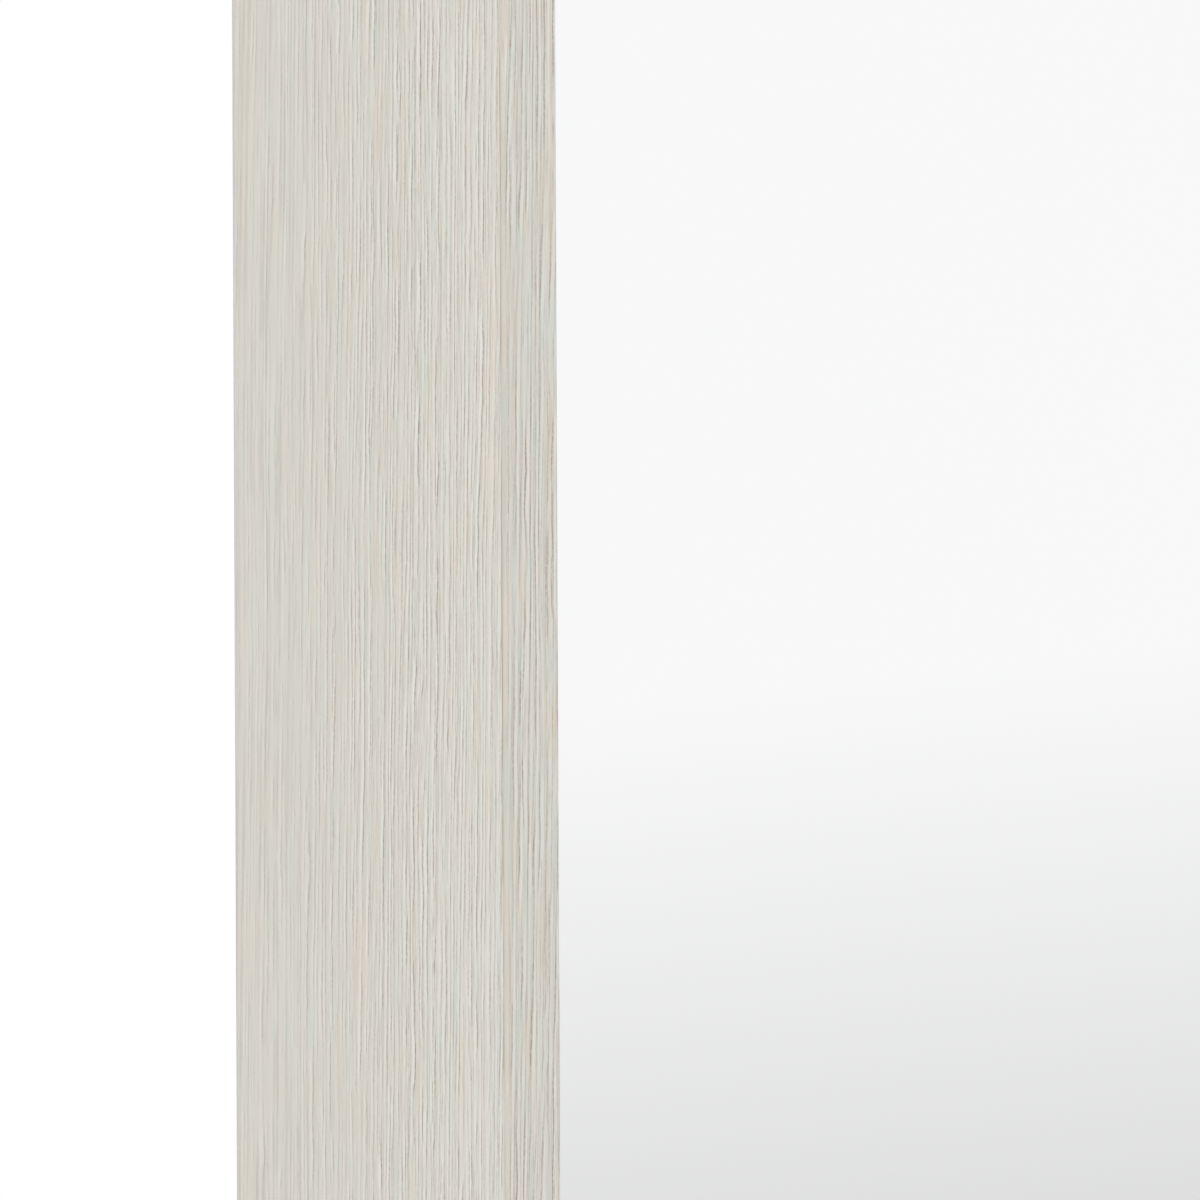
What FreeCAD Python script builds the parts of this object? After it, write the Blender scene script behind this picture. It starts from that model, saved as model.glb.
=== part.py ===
import FreeCAD
import Part
import Sketcher
import os

from typing import NamedTuple

from FreeCAD import Placement, Rotation, Vector

# Leaning floor mirror: a deep oak box frame with the glass held from behind.
# X runs to the right seen from the front, Y to the back and Z up, in millimetres.
# The origin is the middle of the footprint, at floor level.
#
# Every long piece of the frame is drawn in one local frame: X along the piece
# from its middle, Y from the front of the mirror to the back, and Z from the
# outer face inward. SIDES then turns and moves that frame to its place.

SIZES = [
    ("mirror_width", 762, "overall width"),
    ("mirror_height", 1829, "height of the frame, without the floor pads"),
    ("frame_depth", 64, "front edge to rear edge"),
    ("front_width", 19, "slim front edge of the frame"),
    ("wall_width", 12, "thickness of the frame behind the lip"),
    ("lip_depth", 9, "front edge to the shoulder that the glass sits behind"),
    ("band_thickness", 1, "edge band on the front edge"),
    ("arris_ease", 0.5, "rounding of the front arrises"),
    ("rear_ease", 1.5, "rounding of the rear arrises"),
    ("cut_margin", 6, "how far a mitre cut runs past the piece"),
    ("spline_inset", 9, "middle of a mitre spline, from the outer face"),
    ("spline_width", 14, "spline across the mitre"),
    ("spline_thickness", 3, "spline thickness"),
    ("spline_front", 16, "front end of a spline"),
    ("spline_length", 40, "spline along the depth of the frame"),
    ("spline_gap", 0.15, "glue gap around a spline"),
    ("tape_thickness", 1, "glazing tape"),
    ("tape_width", 4, "glazing tape"),
    ("tape_inset", 14.5, "outer edge of the tape, from the outer face"),
    ("glass_thickness", 5, "mirror pane"),
    ("glass_inset", 14, "edge of the pane, from the outer face"),
    ("glass_arris", 0.6, "ground edge of the pane"),
    ("film_thickness", 0.3, "safety film"),
    ("block_length", 60, "setting block under the pane"),
    ("block_offset", 180, "setting block, from the middle"),
    ("board_thickness", 6, "backing board"),
    ("board_inset", 13, "edge of the backing board, from the outer face"),
    ("batten_width", 20, "batten, from the wall inward"),
    ("batten_depth", 15, "batten, front to back"),
    ("batten_gap", 0.5, "end gap of battens and braces"),
    ("batten_ease", 1, "chamfer on the free arris of a batten"),
    ("stile_screw_pitch", 290, "batten screws along a stile"),
    ("rail_screw_pitch", 240, "batten screws along a rail"),
    ("brace_height", 90, "back brace"),
    ("brace_thickness", 18, "back brace"),
    ("brace_upper", 1430, "middle of the upper brace above the frame's lower edge"),
    ("brace_lower", 330, "middle of the lower brace above the frame's lower edge"),
    ("brace_screw_spread", 50, "the two screws at one end of a brace"),
    ("bracket_leg", 42, "corner bracket"),
    ("bracket_sheet", 2, "corner bracket thickness"),
    ("bracket_bend", 1.5, "inner radius of the bend of a corner bracket"),
    ("bracket_tip", 4, "rounding of the tips of a corner bracket"),
    ("bracket_width", 16, "corner bracket, front to back"),
    ("bracket_front", 43, "front edge of a corner bracket"),
    ("bracket_near", 15, "first hole of a bracket leg"),
    ("bracket_far", 32, "second hole of a bracket leg"),
    ("hanger_offset", 210, "hanger, from the middle of the brace"),
    ("hanger_drop", 4, "hinge of the ring below the middle of the brace"),
    ("strap_width", 16, "hanger plate"),
    ("strap_length", 38, "hanger plate below the hinge"),
    ("strap_sheet", 1.2, "one layer of the folded hanger plate"),
    ("strap_near", 10, "first hole below the hinge"),
    ("strap_far", 28, "second hole below the hinge"),
    ("wire_radius", 2, "wire of the ring"),
    ("wire_gap", 0.08, "running gap between wire and eye"),
    ("ring_half_width", 14.5, "middle of the wire, from the middle of the ring"),
    ("ring_corner", 4, "bend between the bar and a leg"),
    ("ring_leg", 6, "height at which the half circle starts"),
    ("ring_lean", 2.5, "degrees that the ring leans onto the brace"),
    ("screw_radius", 1.75, "shank of every screw"),
    ("hole_radius", 1.8, "hole for that shank"),
    ("head_radius", 3.4, "screw head"),
    ("head_height", 2.2, "pan head"),
    ("recess_reach", 1.9, "half length of the cross recess"),
    ("recess_half", 0.4, "half width of the cross recess"),
    ("recess_depth", 1.1, "depth of the cross recess"),
    ("long_screw", 28, "countersunk screw of battens and braces"),
    ("plate_screw", 16, "pan screw of the hangers"),
    ("short_screw", 10, "pan screw of the corner brackets"),
    ("tip_room", 0.6, "hole left free past a screw tip"),
    ("bumper_height", 3, "wall bumper"),
    ("bumper_width", 9, "wall bumper"),
    ("bumper_length", 40, "wall bumper"),
    ("bumper_drop", 14, "top of a bumper below the top of the frame"),
    ("bumper_corner", 3, "corner of a bumper"),
    ("bumper_ease", 1.8, "rounding of the wall side of a bumper"),
    ("pad_height", 3, "floor pad"),
    ("pad_length", 80, "floor pad, along the rail"),
    ("pad_depth", 60, "floor pad, front to back"),
    ("pad_offset", 325, "floor pad, from the middle"),
    ("pad_corner", 6, "corner of a floor pad"),
    ("pad_ease", 0.8, "rounding of the floor side of a pad"),
]

# Depths from the front edge of the frame, one layer behind the other.
GLASS_FRONT = "(Sizes.lip_depth + Sizes.tape_thickness)"
GLASS_BACK = f"({GLASS_FRONT} + Sizes.glass_thickness)"
FILM_BACK = f"({GLASS_BACK} + Sizes.film_thickness)"
BOARD_BACK = f"({FILM_BACK} + Sizes.board_thickness)"
BATTEN_BACK = f"({BOARD_BACK} + Sizes.batten_depth)"
BRACE_BACK = f"({BATTEN_BACK} + Sizes.brace_thickness)"

FRONT_Y = "(-(Sizes.frame_depth + Sizes.bumper_height) / 2)"
FRAME_MIDDLE = "(Sizes.pad_height + Sizes.mirror_height / 2)"
BATTEN_INNER = "(Sizes.wall_width + Sizes.batten_width)"
EYE_OUTER = "(Sizes.wire_radius + Sizes.wire_gap + Sizes.strap_sheet)"
HANGER_Z = "(Sizes.pad_height + Sizes.brace_upper - Sizes.hanger_drop)"


class Side(NamedTuple):
    """One side of the frame, as expressions over the sheet."""

    length: str     # outer length
    x: str          # middle of its outer face
    z: str
    turn: int       # degrees about Y
    screws: int     # screws in its batten
    pitch: str      # distance between those screws


FRAME_TOP = "(Sizes.pad_height + Sizes.mirror_height)"
HALF_WIDTH = "Sizes.mirror_width / 2"
SIDES = {
    "left": Side("Sizes.mirror_height", f"-{HALF_WIDTH}", FRAME_MIDDLE, 90, 6, "Sizes.stile_screw_pitch"),
    "right": Side("Sizes.mirror_height", HALF_WIDTH, FRAME_MIDDLE, -90, 6, "Sizes.stile_screw_pitch"),
    "top": Side("Sizes.mirror_width", "0", FRAME_TOP, 180, 3, "Sizes.rail_screw_pitch"),
    "bottom": Side("Sizes.mirror_width", "0", "Sizes.pad_height", 0, 3, "Sizes.rail_screw_pitch"),
}
UPRIGHT_SIDES = ("left", "right")
MEMBERS = {"left": "left_stile", "right": "right_stile", "top": "top_rail", "bottom": "bottom_rail"}

# Corner of the frame: sign along X, sign along Z, turn about Y.
CORNERS = {
    "bottom_left": (-1, -1, 0),
    "top_left": (-1, 1, 90),
    "top_right": (1, 1, 180),
    "bottom_right": (1, -1, -90),
}

doc = FreeCAD.newDocument("floor_mirror")
sheet = doc.addObject("Spreadsheet::Sheet", "Sizes")
for row, (alias, number, note) in enumerate(SIZES, start=1):
    sheet.set(f"A{row}", alias)
    sheet.set(f"B{row}", str(number))
    sheet.set(f"C{row}", note)
    sheet.setAlias(f"B{row}", alias)
doc.recompute()

sub_parts = {}


def value(expression):
    """Number that an expression over the sheet gives."""
    return float(sheet.evalExpression(expression))


def new_body(label):
    """Empty body that is written out under its label."""
    body = doc.addObject("PartDesign::Body", label)
    body.Label = label
    sub_parts[label] = body
    return body


def new_sketch(body, plane, level="0"):
    """Sketch on an origin plane of the body, moved along the plane's own axis."""
    support = next(item for item in body.Origin.OriginFeatures if item.Role == plane)
    sketch = body.newObject("Sketcher::SketchObject", f"{body.Name}_sketch")
    sketch.AttachmentSupport = [(support, "")]
    sketch.MapMode = "FlatFace"
    if level != "0":
        sign = "-" if plane == "XZ_Plane" else ""
        sketch.setExpression("AttachmentOffset.Base.z", f"{sign}({level})")
    return sketch


# Numbers by which a sketch knows its own origin, its axes and the points of an element.
ORIGIN = (-1, 1)
AXIS_LINES = {"X": -2, "Y": -1}
START, END, CENTRE = 1, 2, 3


def hold_axis(sketch, element, position, axis, expression):
    """Hold one coordinate of a point of the sketch."""
    if expression == "0":
        sketch.addConstraint(Sketcher.Constraint("PointOnObject", element, position, AXIS_LINES[axis]))
        return
    constraint = Sketcher.Constraint(f"Distance{axis}", *ORIGIN, element, position, value(expression))
    index = sketch.addConstraint(constraint)
    sketch.setExpression(f"Constraints[{index}]", expression)


def hold_radius(sketch, element, expression):
    """Hold the radius of a circle or an arc."""
    index = sketch.addConstraint(Sketcher.Constraint("Radius", element, value(expression)))
    sketch.setExpression(f"Constraints[{index}]", expression)


def fix_point(sketch, element, position, point):
    """Hold a point of the sketch at two expressions."""
    for axis, expression in zip("XY", point):
        hold_axis(sketch, element, position, axis, expression)


def add_polygon(sketch, corners):
    """Closed outline through corners given as pairs of expressions."""
    points = [Vector(value(across), value(up), 0) for across, up in corners]
    first = sketch.GeometryCount
    count = len(points)
    for index, point in enumerate(points):
        sketch.addGeometry(Part.LineSegment(point, points[(index + 1) % count]), False)
    for index in range(count):
        following = first + (index + 1) % count
        sketch.addConstraint(Sketcher.Constraint("Coincident", first + index, END, following, START))
    for index, corner in enumerate(corners):
        fix_point(sketch, first + index, START, corner)


def add_circle(sketch, centre, radius):
    """Circle with its centre and radius given as expressions."""
    middle = Vector(value(centre[0]), value(centre[1]), 0)
    element = sketch.addGeometry(Part.Circle(middle, Vector(0, 0, 1), value(radius)), False)
    fix_point(sketch, element, CENTRE, centre)
    hold_radius(sketch, element, radius)


def extrude(body, kind, sketch, length, symmetric=False, flip=False):
    """Pad or pocket of a sketch."""
    feature = body.newObject(f"PartDesign::{kind}", f"{body.Name}_{kind.lower()}")
    feature.Profile = sketch
    feature.SideType = "Symmetric" if symmetric else "One side"
    feature.Reversed = flip
    feature.setExpression("Length", length)
    doc.recompute()
    return feature


def ease(body, kind, size, names):
    """Fillet or chamfer on named edges of the body as it stands."""
    base = body.Tip
    feature = body.newObject(f"PartDesign::{kind}", f"{body.Name}_{kind.lower()}")
    feature.Base = (base, names)
    feature.setExpression("Radius" if kind == "Fillet" else "Size", size)
    doc.recompute()
    return feature


def edges_where(body, test):
    """Names of the edges whose two end points and middle all pass a test."""
    names = []
    for index, edge in enumerate(body.Tip.Shape.Edges, start=1):
        points = [vertex.Point for vertex in edge.Vertexes]
        points.append(edge.valueAt((edge.FirstParameter + edge.LastParameter) / 2))
        if all(test(point) for point in points):
            names.append(f"Edge{index}")
    return names


def near(first, second):
    """True for two lengths that are the same."""
    return abs(first - second) < 1e-4


def long_edges(body, lines):
    """Edges that run along the piece at the given pairs of depth and inset."""
    found = []
    for depth, inset in lines:
        found += edges_where(body, lambda point: near(point.y, depth) and near(point.z, inset))
    return found


def corner_edges(body, half_width, at_end):
    """Edges on both sides of a piece that also pass a test for its ends."""
    return edges_where(body, lambda point: near(abs(point.x), half_width) and at_end(point))


def place(body, x, y, z, turn=None):
    """Move a body to three expressions, with a fixed turn."""
    body.Placement = Placement(Vector(), turn or Rotation())
    for axis, expression in zip("xyz", (x, y, z)):
        if expression != "0":
            body.setExpression(f"Placement.Base.{axis}", expression)


def place_on_side(body, side):
    """Move a piece of the frame from its local frame to its side."""
    lies = SIDES[side]
    place(body, lies.x, FRONT_Y, lies.z, Rotation(Vector(0, 1, 0), lies.turn))


def batten_screw_row(side):
    """Positions of the batten screws of a side, about its middle."""
    count = SIDES[side].screws
    return [f"{index - (count - 1) / 2} * {SIDES[side].pitch}" for index in range(count)]


def mitre_ends(body, length):
    """Cut both ends of a piece of the frame at 45 degrees."""
    sketch = new_sketch(body, "XZ_Plane")
    reach = "(Sizes.front_width + Sizes.cut_margin)"
    margin = "Sizes.cut_margin"
    for sign in ("", "-"):
        add_polygon(sketch, [
            (f"{sign}({length} / 2 + {margin})", f"-{margin}"),
            (f"{sign}({length} / 2 + {margin})", reach),
            (f"{sign}({length} / 2 - {reach})", reach),
        ])
    extrude(body, "Pocket", sketch, "4 * Sizes.frame_depth", symmetric=True)


def cut_spline_slots(body, length):
    """Slot for a spline in the mitre at each end."""
    sketch = new_sketch(body, "XZ_Plane", "Sizes.spline_front - Sizes.spline_gap")
    across = "(Sizes.spline_width / 2 + Sizes.spline_gap)"
    along = "(Sizes.spline_thickness / 2 + Sizes.spline_gap)"
    for sign in ("", "-"):
        corners = []
        for first, second in (("+", "+"), ("+", "-"), ("-", "-"), ("-", "+")):
            flipped = "-" if second == "+" else "+"
            shift_x = f"({first}{across} {flipped} {along}) / sqrt(2)"
            shift_z = f"({first}{across} {second} {along}) / sqrt(2)"
            x = f"{sign}({length} / 2 - Sizes.spline_inset + {shift_x})"
            corners.append((x, f"Sizes.spline_inset + {shift_z}"))
        add_polygon(sketch, corners)
    extrude(body, "Pocket", sketch, "Sizes.spline_length + 2 * Sizes.spline_gap")


def drill(body, plane, level, centres, depth, flip=False):
    """Row of screw holes from a plane into the body."""
    sketch = new_sketch(body, plane, level)
    for centre in centres:
        add_circle(sketch, centre, "Sizes.hole_radius")
    return extrude(body, "Pocket", sketch, depth, flip=flip)


def bracket_holes(length):
    """Where the corner brackets are screwed to a side of the frame."""
    depth = "Sizes.bracket_front + Sizes.bracket_width / 2"
    centres = []
    for sign in ("", "-"):
        for hole in ("Sizes.bracket_near", "Sizes.bracket_far"):
            centres.append((f"{sign}({length} / 2 - Sizes.wall_width - {hole})", depth))
    return centres


def build_member(side):
    """Stile or rail: a mitred L-section board with its screw and spline holes."""
    length = SIDES[side].length
    body = new_body(MEMBERS[side])
    sketch = new_sketch(body, "YZ_Plane")
    add_polygon(sketch, [
        ("Sizes.band_thickness", "0"),
        ("Sizes.frame_depth", "0"),
        ("Sizes.frame_depth", "Sizes.wall_width"),
        ("Sizes.lip_depth", "Sizes.wall_width"),
        ("Sizes.lip_depth", "Sizes.front_width"),
        ("Sizes.band_thickness", "Sizes.front_width"),
    ])
    extrude(body, "Pad", sketch, length, symmetric=True)
    depth = value("Sizes.frame_depth")
    rear = long_edges(body, [(depth, 0), (depth, value("Sizes.wall_width"))])
    ease(body, "Fillet", "Sizes.rear_ease", rear)
    mitre_ends(body, length)
    cut_spline_slots(body, length)
    batten_middle = f"({BOARD_BACK} + Sizes.batten_depth / 2)"
    batten_screws = [(x, batten_middle) for x in batten_screw_row(side)]
    reach = "Sizes.long_screw - Sizes.batten_width + Sizes.tip_room"
    drill(body, "XY_Plane", "Sizes.wall_width", batten_screws, reach)
    reach = "Sizes.short_screw - Sizes.bracket_sheet + Sizes.tip_room"
    drill(body, "XY_Plane", "Sizes.wall_width", bracket_holes(length), reach)
    place_on_side(body, side)


def build_band(side):
    """Oak edge band on the front edge of a stile or rail."""
    length = SIDES[side].length
    body = new_body(f"{side}_edge_band")
    sketch = new_sketch(body, "YZ_Plane")
    add_polygon(sketch, [
        ("0", "0"),
        ("Sizes.band_thickness", "0"),
        ("Sizes.band_thickness", "Sizes.front_width"),
        ("0", "Sizes.front_width"),
    ])
    extrude(body, "Pad", sketch, length, symmetric=True)
    front = long_edges(body, [(0, 0), (0, value("Sizes.front_width"))])
    ease(body, "Fillet", "Sizes.arris_ease", front)
    mitre_ends(body, length)
    place_on_side(body, side)


def build_batten(side):
    """Batten that holds the glass and the backing board against the lip."""
    body = new_body(f"{side}_batten")
    end = "Sizes.wall_width" if side in UPRIGHT_SIDES else BATTEN_INNER
    sketch = new_sketch(body, "YZ_Plane")
    add_polygon(sketch, [
        (BOARD_BACK, "Sizes.wall_width"),
        (BATTEN_BACK, "Sizes.wall_width"),
        (BATTEN_BACK, BATTEN_INNER),
        (BOARD_BACK, BATTEN_INNER),
    ])
    extrude(body, "Pad", sketch, f"{SIDES[side].length} - 2 * ({end} + Sizes.batten_gap)", symmetric=True)
    ease(body, "Chamfer", "Sizes.batten_ease", long_edges(body, [(value(BATTEN_BACK), value(BATTEN_INNER))]))
    middle = f"({BOARD_BACK} + Sizes.batten_depth / 2)"
    screws = [(x, middle) for x in batten_screw_row(side)]
    drill(body, "XY_Plane", BATTEN_INNER, screws, "Sizes.batten_width")
    sink_heads(body, lambda point: near(point.z, value(BATTEN_INNER)))
    if side in UPRIGHT_SIDES:
        sign = "-" if side == "left" else ""
        centres = [(f"{sign}({z} - Sizes.mirror_height / 2)", u) for z, u in brace_screw_places()]
        reach = "Sizes.long_screw - Sizes.brace_thickness + Sizes.tip_room"
        drill(body, "XZ_Plane", BATTEN_BACK, centres, reach, flip=True)
    place_on_side(body, side)


def sink_heads(body, on_face):
    """Countersink every screw hole that opens on a face."""
    rims = []
    radius = value("Sizes.hole_radius")
    for index, edge in enumerate(body.Tip.Shape.Edges, start=1):
        is_rim = isinstance(edge.Curve, Part.Circle) and near(edge.Curve.Radius, radius)
        if is_rim and on_face(edge.CenterOfMass):
            rims.append(f"Edge{index}")
    ease(body, "Chamfer", "Sizes.head_radius - Sizes.screw_radius", rims)


def brace_screw_places():
    """Height above the frame's lower edge and inset of the brace screws on one side."""
    inset = "(Sizes.wall_width + Sizes.batten_width / 2)"
    places = []
    for middle in ("Sizes.brace_upper", "Sizes.brace_lower"):
        for sign in ("-", "+"):
            places.append((f"({middle} {sign} Sizes.brace_screw_spread / 2)", inset))
    return places


def build_brace(label, height):
    """Board across the back, screwed to the two side battens."""
    body = new_body(label)
    half = "(Sizes.mirror_width / 2 - Sizes.wall_width - Sizes.batten_gap)"
    sketch = new_sketch(body, "XZ_Plane", BATTEN_BACK)
    add_polygon(sketch, [
        (f"-{half}", "-Sizes.brace_height / 2"),
        (half, "-Sizes.brace_height / 2"),
        (half, "Sizes.brace_height / 2"),
        (f"-{half}", "Sizes.brace_height / 2"),
    ])
    extrude(body, "Pad", sketch, "Sizes.brace_thickness", flip=True)
    across = "(Sizes.mirror_width / 2 - Sizes.wall_width - Sizes.batten_width / 2)"
    up = "Sizes.brace_screw_spread / 2"
    ends = [(f"{side}{across}", f"{end}{up}") for side in ("", "-") for end in ("", "-")]
    drill(body, "XZ_Plane", BRACE_BACK, ends, "Sizes.brace_thickness", flip=True)
    sink_heads(body, lambda point: near(point.y, value(BRACE_BACK)))
    if label == "upper_brace":
        reach = "Sizes.plate_screw - 2 * Sizes.strap_sheet + Sizes.tip_room"
        holes = []
        for sign in ("", "-"):
            for hole in ("Sizes.strap_near", "Sizes.strap_far"):
                holes.append((f"{sign}Sizes.hanger_offset", f"-(Sizes.hanger_drop + {hole})"))
        drill(body, "XZ_Plane", BRACE_BACK, holes, reach, flip=True)
    rear = value(BRACE_BACK)
    tall = value("Sizes.brace_height / 2")
    ease(body, "Chamfer", "Sizes.rear_ease", long_edges(body, [(rear, tall), (rear, -tall)]))
    place(body, "0", FRONT_Y, f"Sizes.pad_height + {height}")


def build_pane(label, inset, front, thickness, arris=None):
    """Flat sheet that fills the frame inside a given inset."""
    body = new_body(label)
    half_width = f"(Sizes.mirror_width / 2 - {inset})"
    half_height = f"(Sizes.mirror_height / 2 - {inset})"
    sketch = new_sketch(body, "XZ_Plane", front)
    add_polygon(sketch, [
        (f"-{half_width}", f"-{half_height}"),
        (half_width, f"-{half_height}"),
        (half_width, half_height),
        (f"-{half_width}", half_height),
    ])
    extrude(body, "Pad", sketch, thickness, flip=True)
    if arris:
        ease(body, "Chamfer", arris, edges_where(body, lambda point: near(point.y, value(front))))
    place(body, "0", FRONT_Y, FRAME_MIDDLE)


def new_box(name, length, width, height, x, y, z):
    """Block with its sizes and its low corner given as expressions."""
    box = doc.addObject("Part::Box", name)
    for size, expression in (("Length", length), ("Width", width), ("Height", height)):
        box.setExpression(size, expression)
    place(box, x, y, z)
    return box


def new_group(label, members):
    """Several separate solids that are one sub-part."""
    group = doc.addObject("Part::Compound", label)
    group.Label = label
    group.Links = members
    sub_parts[label] = group


def build_tape():
    """Four strips of glazing tape between the lip and the glass."""
    y = f"{FRONT_Y} + Sizes.lip_depth"
    low = "(Sizes.pad_height + Sizes.tape_inset)"
    tall = "(Sizes.mirror_height - 2 * Sizes.tape_inset)"
    wide = "(Sizes.mirror_width - 2 * (Sizes.tape_inset + Sizes.tape_width))"
    strips = []
    for name, x in (("left", "-Sizes.mirror_width / 2 + Sizes.tape_inset"),
                    ("right", "Sizes.mirror_width / 2 - Sizes.tape_inset - Sizes.tape_width")):
        strips.append(new_box(f"tape_{name}", "Sizes.tape_width", "Sizes.tape_thickness", tall, x, y, low))
    for name, z in (("bottom", low), ("top", f"{low} + {tall} - Sizes.tape_width")):
        x = f"-{wide} / 2"
        strips.append(new_box(f"tape_{name}", wide, "Sizes.tape_thickness", "Sizes.tape_width", x, y, z))
    new_group("glazing_tape", strips)


def build_setting_blocks():
    """Two rubber blocks that carry the pane in the bottom rail."""
    blocks = []
    for name, sign in (("left", "-"), ("right", "")):
        x = f"{sign}Sizes.block_offset - Sizes.block_length / 2"
        y = f"{FRONT_Y} + {GLASS_FRONT}"
        z = "Sizes.pad_height + Sizes.wall_width"
        sizes = ("Sizes.block_length", "Sizes.glass_thickness", "Sizes.glass_inset - Sizes.wall_width")
        blocks.append(new_box(f"block_{name}", *sizes, x, y, z))
    new_group("setting_blocks", blocks)


def build_splines():
    """Four plywood splines, one across each mitre."""
    splines = []
    for corner, (sign_x, sign_z, _) in CORNERS.items():
        box = new_box(f"spline_{corner}", "Sizes.spline_width", "Sizes.spline_length",
                      "Sizes.spline_thickness", "0", "0", "0")
        slope = sign_x * sign_z
        across = f"(Sizes.spline_width + {slope} * Sizes.spline_thickness) / (2 * sqrt(2))"
        up = f"(Sizes.spline_thickness - {slope} * Sizes.spline_width) / (2 * sqrt(2))"
        x = f"{sign_x} * (Sizes.mirror_width / 2 - Sizes.spline_inset) - {across}"
        z = f"{FRAME_MIDDLE} + {sign_z} * (Sizes.mirror_height / 2 - Sizes.spline_inset) - {up}"
        place(box, x, f"{FRONT_Y} + Sizes.spline_front", z, Rotation(Vector(0, 1, 0), 45 * slope))
        splines.append(box)
    new_group("mitre_splines", splines)


def build_bracket(corner):
    """Steel angle in one inner corner of the frame."""
    sign_x, sign_z, turn = CORNERS[corner]
    body = new_body(f"{corner}_bracket")
    sketch = new_sketch(body, "XZ_Plane", "Sizes.bracket_front")
    add_polygon(sketch, [
        ("0", "0"),
        ("Sizes.bracket_leg", "0"),
        ("Sizes.bracket_leg", "Sizes.bracket_sheet"),
        ("Sizes.bracket_sheet", "Sizes.bracket_sheet"),
        ("Sizes.bracket_sheet", "Sizes.bracket_leg"),
        ("0", "Sizes.bracket_leg"),
    ])
    extrude(body, "Pad", sketch, "Sizes.bracket_width", flip=True)
    leg = value("Sizes.bracket_leg")
    tips = edges_where(body, lambda point: near(point.x, leg) or near(point.z, leg))
    shape = body.Tip.Shape
    tips = [name for name in tips if near(shape.getElement(name).Length, value("Sizes.bracket_sheet"))]
    ease(body, "Fillet", "Sizes.bracket_tip", tips)
    inner = value("Sizes.bracket_sheet")
    for face, radius in ((0, "Sizes.bracket_bend + Sizes.bracket_sheet"), (inner, "Sizes.bracket_bend")):
        bend = edges_where(body, lambda point: near(point.x, face) and near(point.z, face))
        ease(body, "Fillet", radius, bend)
    middle = "Sizes.bracket_front + Sizes.bracket_width / 2"
    holes = ("Sizes.bracket_near", "Sizes.bracket_far")
    drill(body, "XY_Plane", "Sizes.bracket_sheet", [(hole, middle) for hole in holes], "Sizes.bracket_sheet")
    drill(body, "YZ_Plane", "Sizes.bracket_sheet", [(middle, hole) for hole in holes], "Sizes.bracket_sheet")
    x = f"{sign_x} * (Sizes.mirror_width / 2 - Sizes.wall_width)"
    z = f"{FRAME_MIDDLE} + {sign_z} * (Sizes.mirror_height / 2 - Sizes.wall_width)"
    place(body, x, FRONT_Y, z, Rotation(Vector(0, 1, 0), turn))


def build_hanger_plate(side, sign):
    """Folded steel plate whose eye holds the bar of a ring."""
    body = new_body(f"{side}_hanger_plate")
    sketch = new_sketch(body, "YZ_Plane")
    add_circle(sketch, (EYE_OUTER, "0"), EYE_OUTER)
    extrude(body, "Pad", sketch, "Sizes.strap_width", symmetric=True)
    sketch = new_sketch(body, "YZ_Plane")
    add_polygon(sketch, [
        ("0", "-Sizes.strap_length"),
        ("2 * Sizes.strap_sheet", "-Sizes.strap_length"),
        ("2 * Sizes.strap_sheet", "0"),
        ("0", "0"),
    ])
    extrude(body, "Pad", sketch, "Sizes.strap_width", symmetric=True)
    sketch = new_sketch(body, "YZ_Plane")
    add_circle(sketch, (EYE_OUTER, "0"), "Sizes.wire_radius + Sizes.wire_gap")
    extrude(body, "Pocket", sketch, "2 * Sizes.strap_width", symmetric=True)
    holes = [("0", "-Sizes.strap_near"), ("0", "-Sizes.strap_far")]
    drill(body, "XZ_Plane", "2 * Sizes.strap_sheet", holes, "2 * Sizes.strap_sheet", flip=True)
    end = value("-Sizes.strap_length")
    half = value("Sizes.strap_width / 2")
    corners = edges_where(body, lambda point: near(point.z, end) and near(abs(point.x), half))
    ease(body, "Fillet", "Sizes.strap_width / 2 - Sizes.strap_sheet", corners)
    place(body, f"{sign}Sizes.hanger_offset", f"{FRONT_Y} + {BRACE_BACK}", HANGER_Z)


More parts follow.
